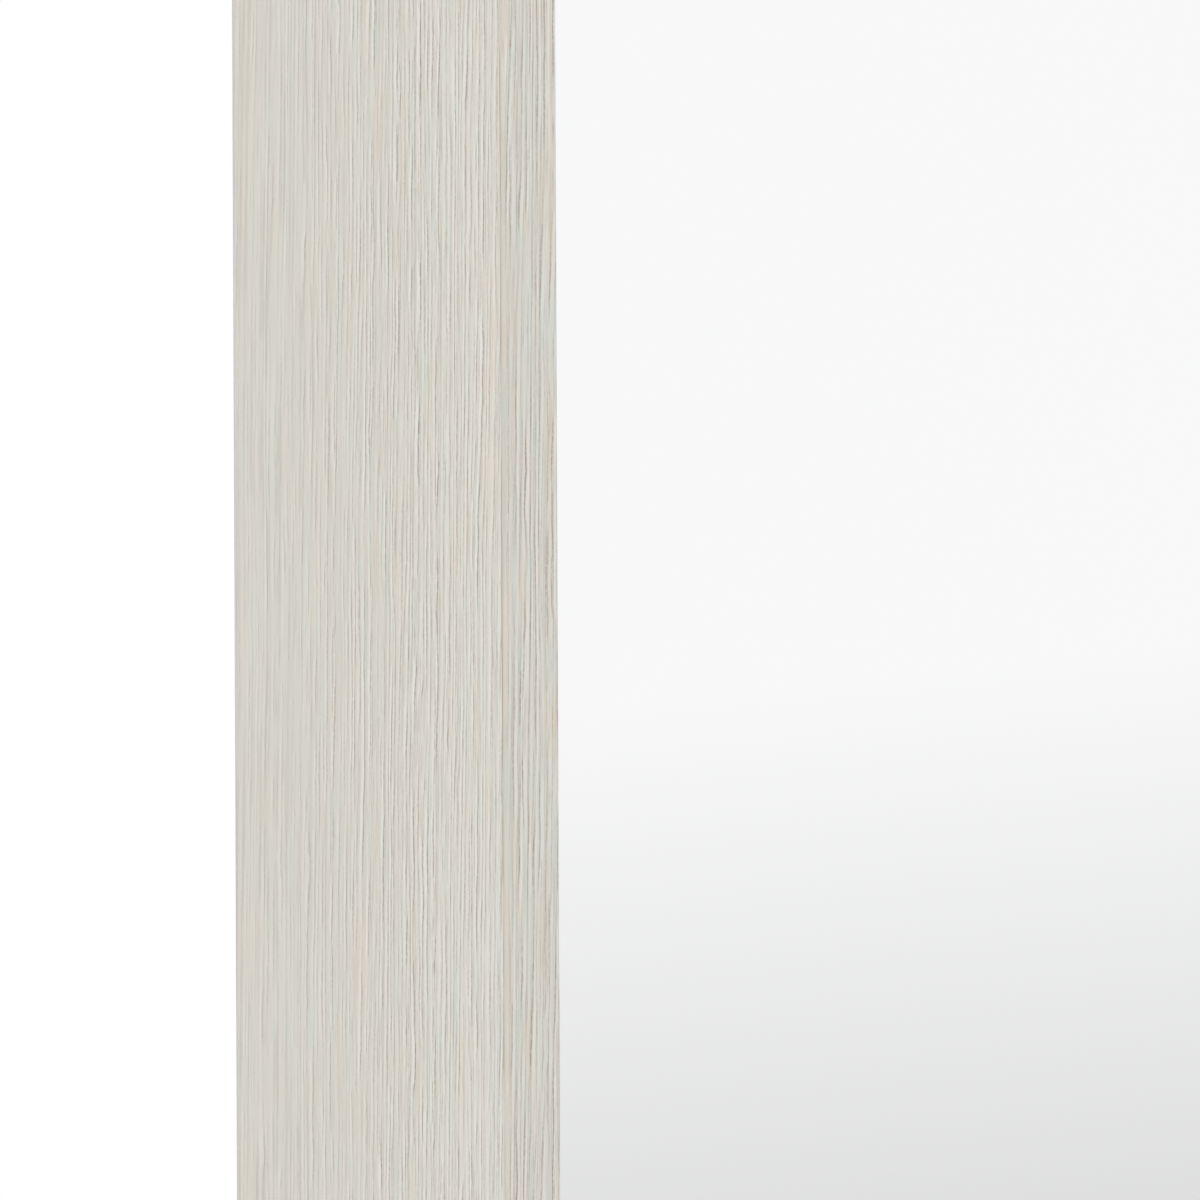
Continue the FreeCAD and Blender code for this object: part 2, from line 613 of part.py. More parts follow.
def build_ring(side, sign):
    """Wire ring in the shape of a D, stored leaning up against the brace."""
    body = new_body(f"{side}_hanger_ring")
    wide = "Sizes.ring_half_width"
    bend = "Sizes.ring_corner"
    path = new_sketch(body, "XZ_Plane")
    half_width = value(wide)
    corner = value(bend)
    leg = value("Sizes.ring_leg")
    bar = half_width - corner
    path.addGeometry(Part.LineSegment(Vector(0, 0, 0), Vector(bar, 0, 0)), False)
    path.addGeometry(quarter_bend(Vector(bar, corner, 0), corner, 270), False)
    path.addGeometry(Part.LineSegment(Vector(half_width, corner, 0), Vector(half_width, leg, 0)), False)
    path.addGeometry(quarter_bend(Vector(0, leg, 0), half_width, 0, 180), False)
    path.addGeometry(Part.LineSegment(Vector(-half_width, leg, 0), Vector(-half_width, corner, 0)), False)
    path.addGeometry(quarter_bend(Vector(-bar, corner, 0), corner, 180), False)
    path.addGeometry(Part.LineSegment(Vector(-bar, 0, 0), Vector(0, 0, 0)), False)
    count = path.GeometryCount
    for index in range(count):
        path.addConstraint(Sketcher.Constraint("Coincident", index, END, (index + 1) % count, START))
    bar_end = f"({wide} - {bend})"
    fix_point(path, 0, START, ("0", "0"))
    fix_point(path, 0, END, (bar_end, "0"))
    fix_point(path, 2, START, (wide, bend))
    fix_point(path, 2, END, (wide, "Sizes.ring_leg"))
    fix_point(path, 4, START, (f"-{wide}", "Sizes.ring_leg"))
    fix_point(path, 4, END, (f"-{wide}", bend))
    fix_point(path, 6, START, (f"-{bar_end}", "0"))
    hold_radius(path, 1, bend)
    hold_axis(path, 3, CENTRE, "Y", "Sizes.ring_leg")
    hold_radius(path, 5, bend)
    section = new_sketch(body, "YZ_Plane")
    add_circle(section, ("0", "0"), "Sizes.wire_radius")
    doc.recompute()
    pipe = body.newObject("PartDesign::AdditivePipe", f"{body.Name}_pipe")
    pipe.Profile = section
    pipe.Spine = (path, [f"Edge{index + 1}" for index in range(count)])
    pipe.Transition = "Transformed"
    doc.recompute()
    y = f"{FRONT_Y} + {BRACE_BACK} + {EYE_OUTER}"
    lean = Rotation(Vector(1, 0, 0), value("Sizes.ring_lean"))
    place(body, f"{sign}Sizes.hanger_offset", y, HANGER_Z, lean)


def quarter_bend(centre, radius, start, sweep=90):
    """Arc about a centre, from a start angle on, in degrees."""
    circle = Part.Circle(centre, Vector(0, 0, 1), radius)
    first = FreeCAD.Units.Quantity(start, "deg").getValueAs("rad").Value
    last = FreeCAD.Units.Quantity(start + sweep, "deg").getValueAs("rad").Value
    return Part.ArcOfCircle(circle, first, last)


def build_screw(name, length, sunk):
    """Screw along Z with the face it bears on at zero, as a pattern for groups."""
    body = doc.addObject("PartDesign::Body", name)
    radius = "Sizes.screw_radius"
    head = "Sizes.head_radius"
    if sunk:
        top = "0"
        outline = [(radius, f"-({head} - {radius})"), (head, "0"), ("0", "0")]
    else:
        top = "Sizes.head_height"
        outline = [
            (radius, "0"), (head, "0"), (head, f"{top} * 0.45"),
            (f"{head} * 0.86", f"{top} * 0.78"), (f"{head} * 0.6", top), ("0", top),
        ]
    sketch = new_sketch(body, "XZ_Plane")
    add_polygon(sketch, [("0", f"-{length}"), (radius, f"-({length} - 2 * {radius})")] + outline)
    turned = body.newObject("PartDesign::Revolution", f"{name}_turned")
    turned.Profile = sketch
    turned.ReferenceAxis = (sketch, ["V_Axis"])
    turned.Angle = 360
    doc.recompute()
    cross = new_sketch(body, "XY_Plane", top)
    reach = "Sizes.recess_reach"
    half = "Sizes.recess_half"
    add_polygon(cross, [
        (half, half), (reach, half), (reach, f"-{half}"), (half, f"-{half}"),
        (half, f"-{reach}"), (f"-{half}", f"-{reach}"), (f"-{half}", f"-{half}"), (f"-{reach}", f"-{half}"),
        (f"-{reach}", half), (f"-{half}", half), (f"-{half}", reach), (half, reach),
    ])
    extrude(body, "Pocket", cross, "Sizes.recess_depth")
    return body


def fastener_group(label, screw, placements):
    """Copies of one screw, kept as separate solids of one sub-part."""
    copies = []
    for placement in placements:
        copy = screw.Shape.copy()
        copy.Placement = placement
        copies.append(copy)
    group = doc.addObject("Part::Feature", label)
    group.Label = label
    group.Shape = Part.makeCompound(copies)
    sub_parts[label] = group


def screw_at(point, outward):
    """Placement of a screw whose head looks outward."""
    return Placement(point, Rotation(Vector(0, 0, 1), outward))


def side_frame(side):
    """Placement that takes the local frame of a side to its place."""
    lies = SIDES[side]
    base = Vector(value(lies.x), value(FRONT_Y), value(lies.z))
    return Placement(base, Rotation(Vector(0, 1, 0), lies.turn))


def batten_screw_places():
    """Heads of the batten screws, looking into the frame."""
    places = []
    depth = value(f"{BOARD_BACK} + Sizes.batten_depth / 2")
    for side in SIDES:
        frame = side_frame(side)
        for position in batten_screw_row(side):
            local = Vector(value(position), depth, value(BATTEN_INNER))
            places.append(screw_at(frame.multVec(local), frame.Rotation.multVec(Vector(0, 0, 1))))
    return places


def bracket_screw_places():
    """Heads of the bracket screws, two on each leg."""
    places = []
    inset = value("Sizes.wall_width + Sizes.bracket_sheet")
    for side in SIDES:
        frame = side_frame(side)
        for along, depth in bracket_holes(SIDES[side].length):
            local = Vector(value(along), value(depth), inset)
            places.append(screw_at(frame.multVec(local), frame.Rotation.multVec(Vector(0, 0, 1))))
    return places


def brace_screw_heads():
    """Heads of the brace screws, looking to the back."""
    places = []
    y = value(f"{FRONT_Y} + {BRACE_BACK}")
    for height, inset in brace_screw_places():
        for sign in (-1, 1):
            x = sign * value(f"Sizes.mirror_width / 2 - {inset}")
            places.append(screw_at(Vector(x, y, value(f"Sizes.pad_height + {height}")), Vector(0, 1, 0)))
    return places


def hanger_screw_heads():
    """Heads of the hanger screws, looking to the back."""
    places = []
    y = value(f"{FRONT_Y} + {BRACE_BACK} + 2 * Sizes.strap_sheet")
    for sign in (-1, 1):
        for hole in ("Sizes.strap_near", "Sizes.strap_far"):
            x = sign * value("Sizes.hanger_offset")
            places.append(screw_at(Vector(x, y, value(f"{HANGER_Z} - {hole}")), Vector(0, 1, 0)))
    return places


def build_bumper(side, sign):
    """Rubber bumper on the rear edge of a stile, where the mirror meets a wall."""
    body = new_body(f"{side}_wall_bumper")
    sketch = new_sketch(body, "XZ_Plane")
    add_polygon(sketch, [
        ("-Sizes.bumper_width / 2", "-Sizes.bumper_length"),
        ("Sizes.bumper_width / 2", "-Sizes.bumper_length"),
        ("Sizes.bumper_width / 2", "0"),
        ("-Sizes.bumper_width / 2", "0"),
    ])
    extrude(body, "Pad", sketch, "Sizes.bumper_height", flip=True)
    half_width = value("Sizes.bumper_width / 2")
    half_length = value("Sizes.bumper_length / 2")
    height = value("Sizes.bumper_height")
    corners = corner_edges(body, half_width, lambda point: near(abs(point.z + half_length), half_length))
    ease(body, "Fillet", "Sizes.bumper_corner", corners)
    ease(body, "Fillet", "Sizes.bumper_ease", edges_where(body, lambda point: near(point.y, height)))
    x = f"{sign}(Sizes.mirror_width / 2 - Sizes.wall_width / 2)"
    z = "Sizes.pad_height + Sizes.mirror_height - Sizes.bumper_drop"
    place(body, x, f"{FRONT_Y} + Sizes.frame_depth", z)


def build_pad(side, sign):
    """Rubber pad under one end of the bottom rail."""
    body = new_body(f"{side}_floor_pad")
    sketch = new_sketch(body, "XY_Plane")
    add_polygon(sketch, [
        ("-Sizes.pad_length / 2", "-Sizes.pad_depth / 2"),
        ("Sizes.pad_length / 2", "-Sizes.pad_depth / 2"),
        ("Sizes.pad_length / 2", "Sizes.pad_depth / 2"),
        ("-Sizes.pad_length / 2", "Sizes.pad_depth / 2"),
    ])
    extrude(body, "Pad", sketch, "Sizes.pad_height")
    half_length = value("Sizes.pad_length / 2")
    half_depth = value("Sizes.pad_depth / 2")
    corners = corner_edges(body, half_length, lambda point: near(abs(point.y), half_depth))
    ease(body, "Fillet", "Sizes.pad_corner", corners)
    ease(body, "Fillet", "Sizes.pad_ease", edges_where(body, lambda point: near(point.z, 0)))
    place(body, f"{sign}Sizes.pad_offset", f"{FRONT_Y} + Sizes.frame_depth / 2", "0")


for side in SIDES:
    build_member(side)
    build_band(side)
    build_batten(side)
build_splines()
build_tape()
build_setting_blocks()
build_pane("mirror_glass", "Sizes.glass_inset", GLASS_FRONT, "Sizes.glass_thickness", "Sizes.glass_arris")
build_pane("safety_film", "Sizes.glass_inset", GLASS_BACK, "Sizes.film_thickness")
build_pane("backing_board", "Sizes.board_inset", FILM_BACK, "Sizes.board_thickness")
build_brace("upper_brace", "Sizes.brace_upper")
build_brace("lower_brace", "Sizes.brace_lower")
for corner in CORNERS:
    build_bracket(corner)
for side, sign in (("left", "-"), ("right", "")):
    build_hanger_plate(side, sign)
    build_ring(side, sign)
    build_bumper(side, sign)
    build_pad(side, sign)
sunk_screw = build_screw("sunk_screw", "Sizes.long_screw", True)
hanger_screw = build_screw("hanger_screw", "Sizes.plate_screw", False)
bracket_screw = build_screw("bracket_screw", "Sizes.short_screw", False)
doc.recompute()
fastener_group("batten_screws", sunk_screw, batten_screw_places())
fastener_group("brace_screws", sunk_screw, brace_screw_heads())
fastener_group("hanger_screws", hanger_screw, hanger_screw_heads())
fastener_group("bracket_screws", bracket_screw, bracket_screw_places())
doc.recompute()

for item in doc.Objects:
    if "Invalid" in item.State or "Error" in item.State:
        raise RuntimeError(f"{item.Label} did not compute: {item.State}")
os.makedirs("parts", exist_ok=True)
for label, item in sorted(sub_parts.items()):
    if item.Shape.isNull() or not item.Shape.isValid():
        raise RuntimeError(f"{label} has no valid shape")
    item.Shape.exportStep(f"parts/{label}.step")
    print(f"{label}: {len(item.Shape.Solids)} solid(s), {item.Shape.Volume / 1000:.2f} cm3")
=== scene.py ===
"""Finishes, fittings and studio stage for an oak box-frame floor mirror that leans on a wall."""

import math
from typing import NamedTuple

import bmesh
import bpy
from mathutils import Matrix, Vector


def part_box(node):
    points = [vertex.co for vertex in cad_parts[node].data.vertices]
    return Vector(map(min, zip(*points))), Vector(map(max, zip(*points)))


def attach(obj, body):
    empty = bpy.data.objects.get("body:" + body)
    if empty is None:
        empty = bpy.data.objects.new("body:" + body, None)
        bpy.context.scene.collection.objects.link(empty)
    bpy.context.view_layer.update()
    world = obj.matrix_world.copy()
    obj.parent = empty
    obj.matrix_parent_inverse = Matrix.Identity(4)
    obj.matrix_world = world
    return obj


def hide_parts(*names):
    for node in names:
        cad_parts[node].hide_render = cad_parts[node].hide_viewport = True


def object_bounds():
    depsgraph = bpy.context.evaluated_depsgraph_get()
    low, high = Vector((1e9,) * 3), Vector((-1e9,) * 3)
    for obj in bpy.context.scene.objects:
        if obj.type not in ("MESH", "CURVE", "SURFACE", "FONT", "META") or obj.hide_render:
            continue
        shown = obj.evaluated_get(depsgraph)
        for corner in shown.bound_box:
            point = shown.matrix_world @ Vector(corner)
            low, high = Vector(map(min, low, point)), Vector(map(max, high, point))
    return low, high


bl_info = {
    "name": "Floor Mirror",
    "version": (1, 0, 0),
    "blender": (4, 5, 0),
    "location": "View3D > Sidebar > Floor Mirror",
    "description": "Finishes an oak floor mirror, models its fittings and sets a studio stage for it",
    "category": "Object",
}

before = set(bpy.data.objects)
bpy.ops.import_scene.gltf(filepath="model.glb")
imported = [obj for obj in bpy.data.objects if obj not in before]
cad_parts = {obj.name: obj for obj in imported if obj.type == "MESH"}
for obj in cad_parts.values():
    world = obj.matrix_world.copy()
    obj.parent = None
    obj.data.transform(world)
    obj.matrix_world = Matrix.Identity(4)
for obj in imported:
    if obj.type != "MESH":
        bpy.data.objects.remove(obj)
CAD_LOW, CAD_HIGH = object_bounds()
MM = 0.001
MERGE = 0.001 * MM
WHITE = (1.0, 1.0, 1.0, 1.0)
EVEN = (1.0, 1.0, 1.0)
ZERO = (0.0, 0.0, 0.0)

# The frame is made of two upright stiles and two level rails, each with an edge band on its front.
UPRIGHT_SIDES = ("left", "right")
MEMBERS = {"left": "left_stile", "right": "right_stile", "top": "top_rail", "bottom": "bottom_rail"}
CORNERS = ("bottom_left", "bottom_right", "top_left", "top_right")

# A grain that runs along Z is turned to run along X for the level pieces.
UPRIGHT_GRAIN = ZERO
LEVEL_GRAIN = (0.0, math.radians(90), 0.0)
GRAIN = {side: UPRIGHT_GRAIN if side in UPRIGHT_SIDES else LEVEL_GRAIN for side in MEMBERS}


# Settings

def length(name, description, millimetres, least=0.0):
    """Property for a length, with its default and its least value in millimetres."""
    return bpy.props.FloatProperty(
        name=name, description=description, subtype="DISTANCE", unit="LENGTH",
        default=millimetres * MM, min=least * MM, max=50)


def swatch(name, description, colour):
    """Property for a colour."""
    return bpy.props.FloatVectorProperty(
        name=name, description=description, subtype="COLOR", size=3, default=colour, min=0, max=1)


def bearing(name, description, degrees):
    """Property for an angle, with its default in degrees."""
    return bpy.props.FloatProperty(
        name=name, description=description, subtype="ANGLE", default=math.radians(degrees),
        min=-math.pi, max=math.pi)


class OakLook(bpy.types.PropertyGroup):
    """Whitewashed oak of the frame and its edge bands."""

    wash: swatch("Wash", "Main colour of the whitewash", (0.653, 0.640, 0.579))
    tint: swatch("Warm wash", "Wash where it lies thinner", (0.658, 0.632, 0.567))
    pale: swatch("Pale lines", "Wash that has settled thickly", (0.752, 0.742, 0.700))
    shade: swatch("Shaded lines", "Oak that shows through the wash", (0.552, 0.530, 0.472))
    pore: swatch("Pores", "Open pores of the oak", (0.316, 0.258, 0.205))
    stain: swatch("Band edge", "Darkening of the cut edge of an edge band", (0.925, 0.905, 0.885))
    glue: swatch("Glue line", "Joint between a board and its edge band", (0.380, 0.318, 0.248))
    board_gap: length("Board line gap", "Distance between grain lines on the boards", 0.95, 0.2)
    band_gap: length("Band line gap", "Distance between grain lines on the edge bands", 1.9, 0.2)
    pore_depth: length("Pore depth", "Depth of an open pore", 0.12)


class GlassLook(bpy.types.PropertyGroup):
    """Silvered pane."""

    silver: swatch("Silver", "Share of light that the pane sends back", (0.938, 0.940, 0.940))


class BackLook(bpy.types.PropertyGroup):
    """Bare timber, board, steel and rubber behind the pane."""

    early_wood: swatch("Early wood", "Pale part of a softwood ring", (0.680, 0.500, 0.300))
    late_wood: swatch("Late wood", "Dark part of a softwood ring", (0.500, 0.310, 0.145))
    ring_gap: length("Ring gap", "Width of one softwood ring", 3.4, 0.5)
    board: swatch("Fibreboard", "Main colour of the backing board", (0.360, 0.250, 0.155))
    steel: swatch("Zinc plate", "Colour of the plated steel", (0.600, 0.610, 0.620))
    rubber: swatch("Rubber", "Colour of pads, bumpers and blocks", (0.035, 0.035, 0.035))
    film: swatch("Safety film", "Colour of the film behind the pane", (0.450, 0.470, 0.490))


class FittingSizes(bpy.types.PropertyGroup):
    """Screws, hanger plates and rubber pieces."""

    shank: length("Shank", "Radius of a screw's shank", 1.75)
    head_height: length("Head height", "Height of a pan head", 2.2)
    head_round: length("Head rounding", "Rounding of a pan head", 1.3)
    sunk_round: length("Sunk rounding", "Rounding of a sunk head's rim", 0.12)
    recess_reach: length("Recess reach", "Middle of a screw to the end of its cross", 1.9)
    recess_width: length("Recess width", "Width of one arm of the cross", 0.8)
    recess_depth: length("Recess depth", "Depth of the cross", 1.1)
    strap_sheet: length("Hanger sheet", "Thickness of the folded sheet", 1.2)
    strap_round: length("Hanger rounding", "Rounding of the hanger's lower end", 6.8)
    strap_edge: length("Hanger edge", "Rounding of the edges of the sheet", 0.15)
    bumper_corner: length("Bumper corner", "Corner of a wall bumper", 3.0)
    bumper_rim: length("Bumper rim", "Rounding of a bumper's wall side", 1.2)
    bumper_pitch: length("Bumper pitch", "Distance between the ribs of a bumper", 4.0, 1.0)
    pad_corner: length("Pad corner", "Corner of a floor pad", 6.0)
    pad_rim: length("Pad rim", "Rounding of a pad's floor side", 0.8)
    pad_pitch: length("Pad pitch", "Distance between the ribs of a floor pad", 8.0, 1.0)
    rib: length("Rib", "Half width of a rib", 0.5)
    groove: length("Groove", "Depth of the grooves between ribs", 0.5)


class StageLook(bpy.types.PropertyGroup):
    """Floor, lights and camera."""

    floor_radius: length("Floor radius", "Reach of the pale floor", 7000, 1000)
    floor_colour: swatch("Floor", "Colour of the floor", (0.80, 0.80, 0.79))
    room_light: bpy.props.FloatProperty(
        name="Room light", description="Even light from all round", default=0.55, min=0, max=2)
    view_azimuth: bearing("Azimuth", "Camera to the left of the front when negative", -57.8)
    view_roll: bearing("Roll", "Turn of the picture that leans the uprights", -0.24)
    view_distance: length("Distance", "Camera to the arris in the picture", 2000, 200)
    view_field: length("Field", "Width that the picture shows at the arris", 231.55, 50)
    view_offset: length("Offset", "Arris to the middle of the picture", 18.17)
    view_height: length("Height", "Height of the camera", 950)


# Node trees

class Finish:
    """Node tree of a material or world, with short calls to add and join its nodes."""

    def __init__(self, owner):
        owner.use_nodes = True
        self.owner = owner
        self.tree = owner.node_tree
        self.nodes = self.tree.nodes

    def put(self, source, socket):
        """Join an output to a socket, or set the socket's own value."""
        if isinstance(source, bpy.types.NodeSocket):
            self.tree.links.new(source, socket)
        else:
            socket.default_value = source

    def add(self, kind, options=None, **inputs):
        """Add a node with its options and inputs. Underscores stand for spaces in socket names."""
        node = self.nodes.new(kind)
        for name, choice in (options or {}).items():
            setattr(node, name, choice)
        for name, source in inputs.items():
            self.put(source, node.inputs[name.replace("_", " ")])
        return node

    def math(self, operation, first, second=0.0):
        """Sum of two numbers, or another operation on them."""
        node = self.add("ShaderNodeMath", {"operation": operation})
        self.put(first, node.inputs[0])
        self.put(second, node.inputs[1])
        return node.outputs[0]

    def product(self, first, *others):
        """Product of numbers."""
        for other in others:
            first = self.math("MULTIPLY", first, other)
        return first

    def vector(self, operation, first, second=ZERO):
        """Operation on one or two vectors."""
        node = self.add("ShaderNodeVectorMath", {"operation": operation})
        self.put(first, node.inputs[0])
        self.put(second, node.inputs[1])
        return node.outputs["Value" if operation in ("DOT_PRODUCT", "LENGTH") else "Vector"]

    def split(self, vector):
        """Parts X, Y and Z of a vector, or of a colour in the order red, green and blue."""
        return self.add("ShaderNodeSeparateXYZ", Vector=vector).outputs

    def mix(self, share, first, second, blend="MIX"):
        """Blend of two colours."""
        node = self.add("ShaderNodeMix", {"data_type": "RGBA", "blend_type": blend})
        colours = [socket for socket in node.inputs if socket.type == "RGBA"]
        self.put(share, node.inputs["Factor"])
        self.put(first, colours[0])
        self.put(second, colours[1])
        return next(socket for socket in node.outputs if socket.type == "RGBA")

    def tint(self, colour, factors):
        """Colour times a factor for each channel."""
        return self.mix(1.0, colour, factors, "MULTIPLY")

    def stretch(self, vector, scale, turn=ZERO, shift=ZERO):
        """Vector after a Mapping node."""
        node = self.add("ShaderNodeMapping", Vector=vector, Scale=scale, Rotation=turn, Location=shift)
        return node.outputs[0]

    def noise_node(self, vector, detail=2.0, roughness=0.5, scale=1.0):
        """Noise node, which gives a value and a colour. Its scale is its repeats for each metre."""
        return self.add(
            "ShaderNodeTexNoise", Vector=vector, Scale=scale, Detail=detail, Roughness=roughness)

    def noise(self, vector, detail=2.0, roughness=0.5, scale=1.0):
        """Noise value of a vector."""
        return self.noise_node(vector, detail, roughness, scale).outputs["Fac"]

    def long_noise(self, vector, repeats, detail=2.0, roughness=0.5, shift=ZERO):
        """Noise value with its own repeats for each metre along X, Y and Z."""
        return self.noise(self.stretch(vector, repeats, shift=shift), detail, roughness)

    def ramp(self, number, low, high, start=0.0, end=1.0, smooth=True):
        """Number taken from one span to another, held at the ends."""
        kind = "SMOOTHSTEP" if smooth else "LINEAR"
        node = self.add(
            "ShaderNodeMapRange", {"interpolation_type": kind, "clamp": True},
            Value=number, From_Min=low, From_Max=high, To_Min=start, To_Max=end)
        return node.outputs[0]

    def blend(self, share, first, second, output):
        """Join a blend of two shader nodes to an output node."""
        node = self.add("ShaderNodeMixShader", Fac=share)
        self.put(first.outputs[0], node.inputs[1])
        self.put(second.outputs[0], node.inputs[2])
        self.put(node.outputs[0], self.nodes[output].inputs["Surface"])


class Coat(Finish):
    """Material with one Principled shader, laid out in the frame's metres by Object coordinates."""

    def __init__(self, name, metallic=0.0, specular=0.5):
        super().__init__(bpy.data.materials.new(name))
        self.shader = self.nodes["Principled BSDF"]
        self.shader.inputs["Metallic"].default_value = metallic
        self.shader.inputs["Specular IOR Level"].default_value = specular
        self.place = self.add("ShaderNodeTexCoord").outputs["Object"]

    def surface(self, colour, roughness, relief=None, depth=0.0, strength=0.5):
        """Material with its colour, its roughness and a relief of a depth in metres."""
        self.put(colour, self.shader.inputs["Base Color"])
        self.put(roughness, self.shader.inputs["Roughness"])
        if relief is not None:
            bump = self.add("ShaderNodeBump", Strength=strength, Distance=depth, Height=relief)
            self.put(bump.outputs[0], self.shader.inputs["Normal"])
        return self.owner


def rgba(colour):
    """Colour with full alpha."""
    return (*colour[:3], 1.0)


def scaled(colour, factor):
    """Colour made lighter or darker."""
    return rgba([channel * factor for channel in colour])


def dress(node, material):
    """Give a CAD node one material."""
    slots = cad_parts[node].data.materials
    slots.clear()
    slots.append(material)


# Whitewashed oak

class OakCut(NamedTuple):
    """How the grain lies in one kind of oak piece."""

    gap: float      # between growth rings, in metres
    sway: float     # wandering of the grain, in metres
    slant: float    # sideways drift of the grain for each metre along it
    tint: tuple     # rise and fall of red, green and blue between rosy and grey streaks
    dark: float     # share of the pore colour that shows
    tone: float     # lightness of the wash
    reach: float    # usual length of a line, in metres


class Lines(NamedTuple):
    """One family of grain lines. Its shares are of the gap between two of its lines."""

    pace: float             # lines for each growth ring
    seed: float             # families with the same seed wander together
    offset: float           # share by which a line stands beside its ring
    width: float            # share that half a line takes up
    breaks: tuple           # noise up to which a line is missing, and from which it is whole
    stretch: float = 1.0    # length of a line, where the usual one is 1


# Pores and pale ridges have one seed, so that each ridge follows its pore.
FAMILIES = {
    "pale": Lines(pace=1.0, seed=29.0, offset=0.45, width=0.40, breaks=(0.32, 0.62)),
    "shade": Lines(pace=1.37, seed=11.0, offset=0.9, width=0.36, breaks=(0.32, 0.63)),
    "pore": Lines(pace=1.0, seed=29.0, offset=0.0, width=0.17, breaks=(0.39, 0.61)),
    "hair": Lines(pace=1.37, seed=47.0, offset=0.3, width=0.17, breaks=(0.36, 0.61)),
    "soft": Lines(pace=0.5, seed=61.0, offset=0.2, width=0.45, breaks=(0.32, 0.65), stretch=2.0),
}
FINE_LINES = ("pore", "hair", "shade", "pale")

LINE_JITTER = 0.28      # share of the gap by which a line may stand off its even place
LINE_WOBBLE = 0.6       # share of the gap by which it may stray on its way
LINE_CORE = 0.35        # share of its width that has its full strength
LINE_FAINTEST = 0.5     # strength of the faintest line, where the strongest is 1
HAIR_STRENGTH = 0.55    # strength of the hair lines beside the pores
TRACK_GAP = 7.31        # distance in the noise from one line's track to the next
TRACK_START = 60.0      # farthest start of a track in the noise

# Repeats of a pattern for each metre, twice across the grain and once along it.
SWAY_REPEATS = (30, 30, 9)
GRIT_REPEATS = (1500, 1500, 1300)
CLOUD_REPEATS = (120, 120, 5)
GLUE_REPEATS = (200, 200, 45)

# Bunches of rings and streaks of colour repeat for each gap across the grain and each metre along it.
BUNCH_ACROSS = 0.25
BUNCH_ALONG = 9
BUNCH_REACH = 2.0       # rings by which a bunch shifts
STREAK_ACROSS = 0.6
STREAK_ALONG = 42
CLOUD_SHIFT = (5.2, 1.3, 8.8)
STREAK_SHIFT = (2.9, 6.1, 4.4)

# Boards: where the lines get calm behind the front, and where the lighter colour near the front runs
# out.
CALM_DEPTHS = (CAD_LOW.y + 17.5 * MM, CAD_LOW.y + 61.5 * MM)
CALM_SHARE = 0.40
CALM_STREAKS = 0.6
REAR_SOFTNESS = 0.95
FRONT_DEPTHS = (CAD_LOW.y + 7.5 * MM, CAD_LOW.y + 29.5 * MM)
FRONT_LIGHTNESS = 1.04

# Edge bands: distances in from the cut edge, and the glue line, measured forward from the board.
EDGE_FADE = (0.1 * MM, 0.8 * MM)
EDGE_SHARE = 0.25
EDGE_STAIN = (0.1 * MM, 0.6 * MM)
BAND_SOFTNESS = 0.4
GLUE_FRONT = 0.30 * MM
GLUE_BACK = 0.15 * MM
GLUE_STRENGTH = 0.75


